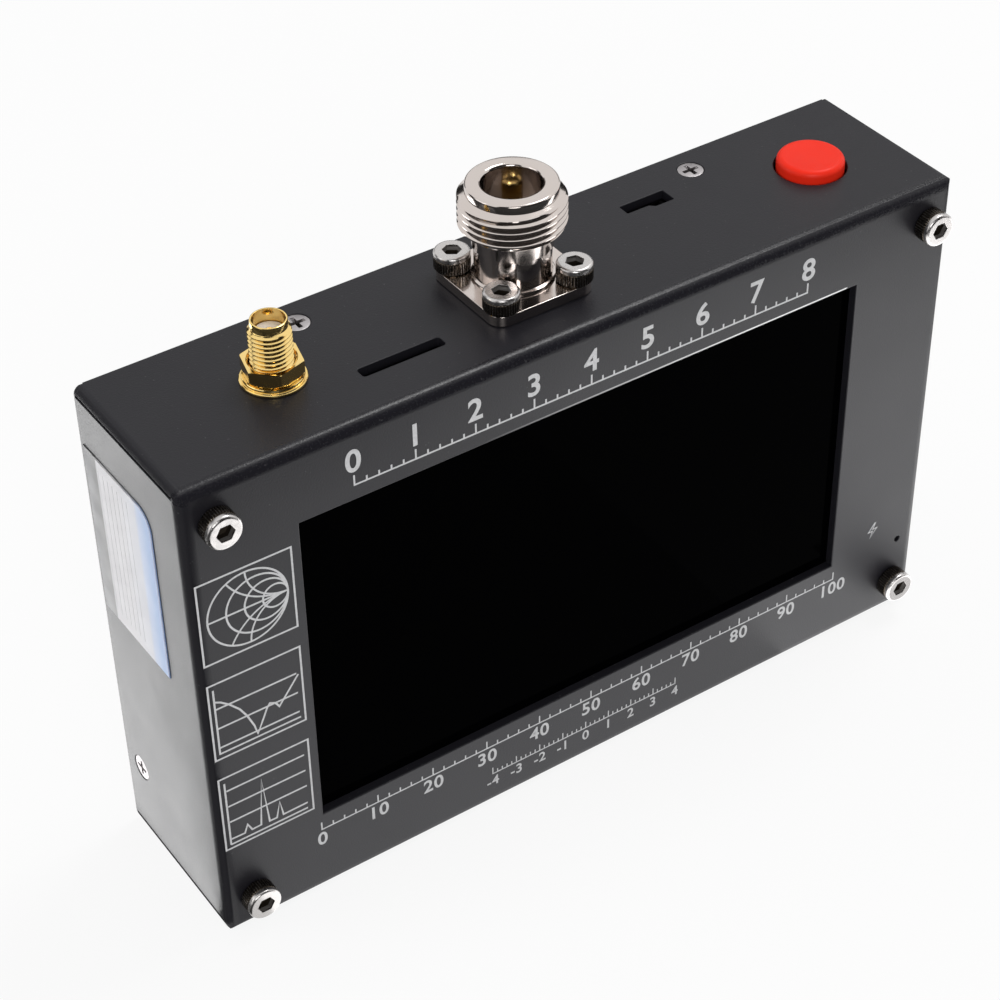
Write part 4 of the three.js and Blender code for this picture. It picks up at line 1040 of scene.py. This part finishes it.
def small_insulator():
    rows = [(0.77, SMALL_FOOT), (2.2, SMALL_FOOT), (2.2, 8.04), (2.14, 8.1), (0.82, 8.1), (0.77, 8.04)]
    return polished(spun("small_insulator", [*rows, rows[0]], 64))


for shape, look, slot, part in (
    (small_connector(), gold, "gold", "shell"), (small_nut(), gold, "gold", "nut"),
    (small_washer(), gold, "gold", "washer"), (small_contact(), gold, "gold", "contact"),
    (small_insulator(), insulator, "white_plastic", "insulator"),
):
    dressed(placed(shape, SMALL), look, "sma_connector_" + part)


# The power button is a round cap moulded in red plastic, its top slightly dished. It is pressed onto the
# square plunger of a push switch that is soldered to the power board.

BUTTON_RADIUS = 5.3
BUTTON_RISE = 1.8
BUTTON_FOOT = -3.2
BUTTON_EDGE = 1
BUTTON_DISH = 0.2
PLUNGER_HALF = 1.75
PLUNGER_TOP = 0.2


def button_cap():
    flat = BUTTON_RADIUS - BUTTON_EDGE
    shoulder = BUTTON_RISE - BUTTON_EDGE
    rows = [(0, BUTTON_FOOT), (BUTTON_RADIUS, BUTTON_FOOT)]
    for angle in [QUARTER * step / 10 for step in range(11)]:
        rows.append((flat + BUTTON_EDGE * cos(angle), shoulder + BUTTON_EDGE * sin(angle)))
    for share in [step / 10 for step in range(9, -1, -1)]:
        rows.append((flat * share, BUTTON_RISE - BUTTON_DISH * (1 - share * share)))
    cap = spun("button_cap", rows, 96)
    seat = rectangle(-PLUNGER_HALF, PLUNGER_HALF, -PLUNGER_HALF, PLUNGER_HALF)
    return polished(carved(cap, bar(seat, "z", BUTTON_FOOT - 1, PLUNGER_TOP)), 40)


red_plastic = finish(
    "red_moulded_plastic", (0.91, 0.025, 0.008), 0.42, specular=0.18,
    tint=(4, 2, (0.89, 0.023, 0.007), (0.94, 0.03, 0.01)), dull=(1.5, 3, 0.36, 0.46),
    relief=(0.3, 2, 0.006, 0.3),
)
cap = placed(button_cap(), (BUTTON_X, LINE_Y, TOP))
dressed(cap, red_plastic, "power_button", "button")
in_finish(plastic, "switch_plunger", "power_switch")


# A memory card socket stands behind the plain slot and the charging socket behind the stepped one, both
# pressed from blackened steel. The charging light sits behind its pinhole at the right of the front.

LAMP_RADIUS = 1.5
LAMP_COLLAR = 1.7
LAMP_HEIGHT = 4.6
LAMP_FOOT = -7.85


def charging_lamp():
    rows = [(0, 0.05), (LAMP_COLLAR, 0.05), (LAMP_COLLAR, 0.75), (LAMP_COLLAR - 0.05, 0.8)]
    rows.append((LAMP_RADIUS, 0.8))
    for angle in [pi * i / 24 for i in range(12)]:
        rows.append((LAMP_RADIUS * cos(angle), LAMP_HEIGHT - LAMP_RADIUS + LAMP_RADIUS * sin(angle)))
    return polished(spun("charging_lamp", [*rows, (0, LAMP_HEIGHT)], 48))


blackened_steel = finish(
    "blackened_steel", (0.03, 0.03, 0.032), 0.5, 1.0, dull=(0.8, 3, 0.42, 0.6),
    relief=(0.2, 2, 0.004, 0.3),
)
epoxy = finish(
    "lamp_epoxy", (0.75, 0.82, 0.7), 0.15, clear=0.6,
    tint=(0.8, 2, (0.7, 0.78, 0.66), (0.8, 0.86, 0.76)),
)
in_finish(blackened_steel, "card_socket", "charge_socket")
lamp = placed(charging_lamp(), (PINHOLE[0], LAMP_FOOT, PINHOLE[1]), OUT_FRONT)
dressed(lamp, epoxy, "charge_light")


# The battery is a flat pouch in silver-grey wrap, taped to the back cover. Two leads in silicone rubber
# run from it to the power board.

wrap = finish(
    "battery_wrap", (0.32, 0.34, 0.37), 0.4, 0.4, dull=(6, 3, 0.3, 0.5), relief=(5, 3, 0.15, 0.5),
)
in_finish(wrap, "battery_pack")
for name, colour in (("red", (0.5, 0.015, 0.015)), ("black", (0.012, 0.012, 0.012))):
    rubber = finish(
        name + "_lead_rubber", colour, 0.5, dull=(0.8, 2, 0.45, 0.6), relief=(0.2, 2, 0.006, 0.3),
    )
    in_finish(rubber, "battery_lead_" + name)


# A printed film label is stuck on the left wall near its rear edge. It is left blank: a grey band, a
# pale field with faint ruled lines, a pale blue band, and a thin dark line along its top and front.

LABEL_BACK = 14.3
LABEL_FRONT = -5.4
LABEL_LOW = 45.6
LABEL_HIGH = 75.5
LABEL_CORNER = 3.4
LABEL_THICK = 0.12
SMALL_CORNER = 0.15
EDGE_LINE = 0.3
EDGE_INSET = 0.17
RULE_LINE = 0.08


def label_film():
    """Bands across the label's width, from the pale blue one in front to the grey one at the back."""
    look = finish("printed_label_film", (0.62, 0.62, 0.64), 0.4, specular=0.15, dull=(3, 2, 0.36, 0.46))
    share = faded(look, along(look)["Y"], LABEL_FRONT, LABEL_BACK)
    ramp = node(look, "ValToRGB", {"Fac": share})
    bands = [
        (0.0, (0.26, 0.37, 0.62)), (0.09, (0.31, 0.43, 0.66)), (0.2, (0.44, 0.51, 0.67)),
        (0.24, (0.55, 0.56, 0.61)), (0.5, (0.57, 0.56, 0.58)), (0.8, (0.56, 0.55, 0.57)),
        (0.82, (0.18, 0.18, 0.18)), (1.0, (0.2, 0.2, 0.21)),
    ]
    stops = ramp.color_ramp.elements
    while len(stops) < len(bands):
        stops.new(0.5)
    for stop, (spot, colour) in zip(stops, bands):
        stop.position, stop.color = spot, (*colour, 1)
    return feed(look, "Base Color", ramp.outputs["Color"])


def wall_lines(name, lines):
    """Lines printed on the label instead of the front, their points in y and z."""
    points, faces = printed(lines)
    return made(name, [(-SIDE - LABEL_THICK - (FRONT - y), x, z) for x, y, z in points], faces)


label_outline = eased([
    (LABEL_FRONT, LABEL_LOW, SMALL_CORNER), (LABEL_BACK, LABEL_LOW, SMALL_CORNER),
    (LABEL_BACK, LABEL_HIGH, SMALL_CORNER), (LABEL_FRONT, LABEL_HIGH, LABEL_CORNER),
], 10)
label = slab(label_outline, "x", -SIDE - LABEL_THICK, -SIDE, 0.04, "blank_label")
dressed(polished(label), label_film(), "side_label")

edge_front, edge_top = LABEL_FRONT + EDGE_INSET, LABEL_HIGH - EDGE_INSET
turn = eased([
    (edge_front, LABEL_LOW), (LABEL_BACK, edge_top), (edge_front, edge_top, LABEL_CORNER - EDGE_INSET),
], 10)[2:]
edge = [(LABEL_BACK - 0.1, edge_top), *turn, (edge_front, LABEL_LOW + 0.1)]
edge_ink = finish("label_edge_ink", (0.02, 0.03, 0.09), 0.4, dull=(1, 2, 0.35, 0.5))
towards_back = faded(edge_ink, along(edge_ink)["Y"], LABEL_FRONT, 4)
tinted(edge_ink, towards_back, (0.012, 0.035, 0.16), (0.03, 0.03, 0.035))
dressed(wall_lines("label_edge_line", [(edge, EDGE_LINE, False)]), edge_ink)

rule_ink = finish(
    "label_rule_ink", (0.5, 0.5, 0.52), 0.45, tint=(0.5, 2, (0.46, 0.46, 0.48), (0.58, 0.58, 0.6)),
)
rule_ends = LABEL_LOW + 2, LABEL_HIGH - 2.2
rules = [([(y, z) for z in rule_ends], RULE_LINE, False) for y in (10.1, 8.7, 7.3, 5.9, 4.5, 3.1, 1.7)]
dressed(wall_lines("label_rules", rules), rule_ink)


# The studio: a pale floor that runs on as backdrop, an even white surround and soft lamps. Cards and
# glowing panels that only reflections show give the satin paint and the plated metal their dark and
# bright sides.

FLOOR_REACH = 4000
FLOOR_GLOW = 0.88
SURROUND_LIGHT = 0.5
MIDDLE = (0, 0, 42)

bpy.context.scene.view_settings.view_transform = "Standard"


def seen_directly(look):
    """1 for camera, glossy and transmission rays, and 0 for the light that falls on the analyzer."""
    rays = node(look, "LightPath").outputs
    seen = rays["Is Camera Ray"]
    for ray in ("Is Glossy Ray", "Is Transmission Ray"):
        seen = combined(look, "MAXIMUM", seen, rays[ray])
    return seen


def floor_paper():
    look = bpy.data.materials.new("floor_paper")
    look.use_nodes = True
    look.node_tree.nodes.clear()
    paper = node(look, "BsdfDiffuse", {"Color": (0.9, 0.9, 0.9, 1)})
    glow = node(look, "Emission", {"Color": (1, 1, 1, 1), "Strength": 1.0})
    share = combined(look, "MULTIPLY", seen_directly(look), FLOOR_GLOW)
    mixed = node(look, "MixShader", {0: share, 1: paper.outputs[0], 2: glow.outputs[0]})
    node(look, "OutputMaterial", {"Surface": mixed.outputs[0]})
    return look


def sheet(name, corners, look):
    shape = made(name, corners, [tuple(range(len(corners)))], welded=False)
    shape.data.materials.append(look)
    return shape


def square(x, y, half, z):
    return [(x + a * half, y + b * half, z) for a, b in ((-1, -1), (1, -1), (1, 1), (-1, 1))]


paper = floor_paper()
sheet("floor", square(0, 0, FLOOR_REACH, 0), paper)

world = bpy.data.worlds.new("surround")
bpy.context.scene.world = world
world.use_nodes = True
strength = spread(world, seen_directly(world), SURROUND_LIGHT, 1.0, 0, 1)
background = world.node_tree.nodes["Background"]
background.inputs["Color"].default_value = (1, 1, 1, 1)
world.node_tree.links.new(strength, background.inputs["Strength"])


def only_mirrored(shape):
    """Hides a card or panel from everything but reflections."""
    for rays in ("camera", "diffuse", "transmission", "shadow"):
        setattr(shape, "visible_" + rays, False)


dark = finish("dark_card", (0.01, 0.01, 0.01), 1)
left = [(-67.8, -11.2, 1), (-62, -60, 1), (-62, -1500, 1), (-1500, -1500, 1), (-1500, 2310, 1)]
front = [(-60, -74, 40), (800, -74, 40), (800, -1400, 40), (-60, -1400, 40)]
high_front = [(-1800, -700, 0), (1900, -1600, 0), (1900, -1600, 2500), (-1800, -700, 2500)]
back = [(-515, 857, 60), (-966, 259, 60), (-966, 259, 700), (-515, 857, 700)]
far_back = [(-250, 1200, 60), (1200, 500, 60), (1200, 500, 400), (-250, 1200, 400)]
far_left = [(-210, 0, 0.2), (-210, 200, 0.2), (-500, 857, 0.2), (-1500, 857, 0.2), (-1500, 0, 0.2)]
for name, corners, look in (
    ("card_left", left, dark), ("paper_right_low", square(67.5, -24.5, 6, 1), paper),
    ("paper_right_high", square(150, -104, 16, 1), paper), ("card_front", front, dark),
    ("card_high_front", high_front, dark), ("card_back", back, dark), ("card_far_back", far_back, dark),
    ("card_far_left", far_left, dark),
):
    only_mirrored(sheet(name, corners, look))


def soft_lamp(name, spot, size, glow, towards=MIDDLE):
    """A soft lamp with so bright a face, 1 being white, its places and size in millimetres."""
    face = bpy.data.lights.new(name, "AREA")
    face.shape = "RECTANGLE"
    face.size, face.size_y = size[0] * MM, size[1] * MM
    face.energy = glow * pi * face.size * face.size_y
    turn = (Vector(towards) - Vector(spot)).to_track_quat("-Z", "Y").to_euler()
    return placed(put_in(name, face), spot, turn)


def floor_panel(name, x, y, size, glow):
    """A glowing panel that lies on the floor, face up, for reflections alone."""
    only_mirrored(soft_lamp(name, (x, y, 0.5), size, glow, (x, y, 100)))


soft_lamp("lamp_above", (450, 85, 900), (340, 340), 9)
soft_lamp("lamp_left", (-800, 350, 420), (500, 400), 1.6)
soft_lamp("lamp_front", (-500, -900, 600), (450, 450), 6)
floor_panel("panel_left", -139, 91, (142, 212), 3.0)
floor_panel("panel_front", -10, -165, (100, 300), 0.95)
floor_panel("panel_right", 240, -165, (400, 300), 1.8)
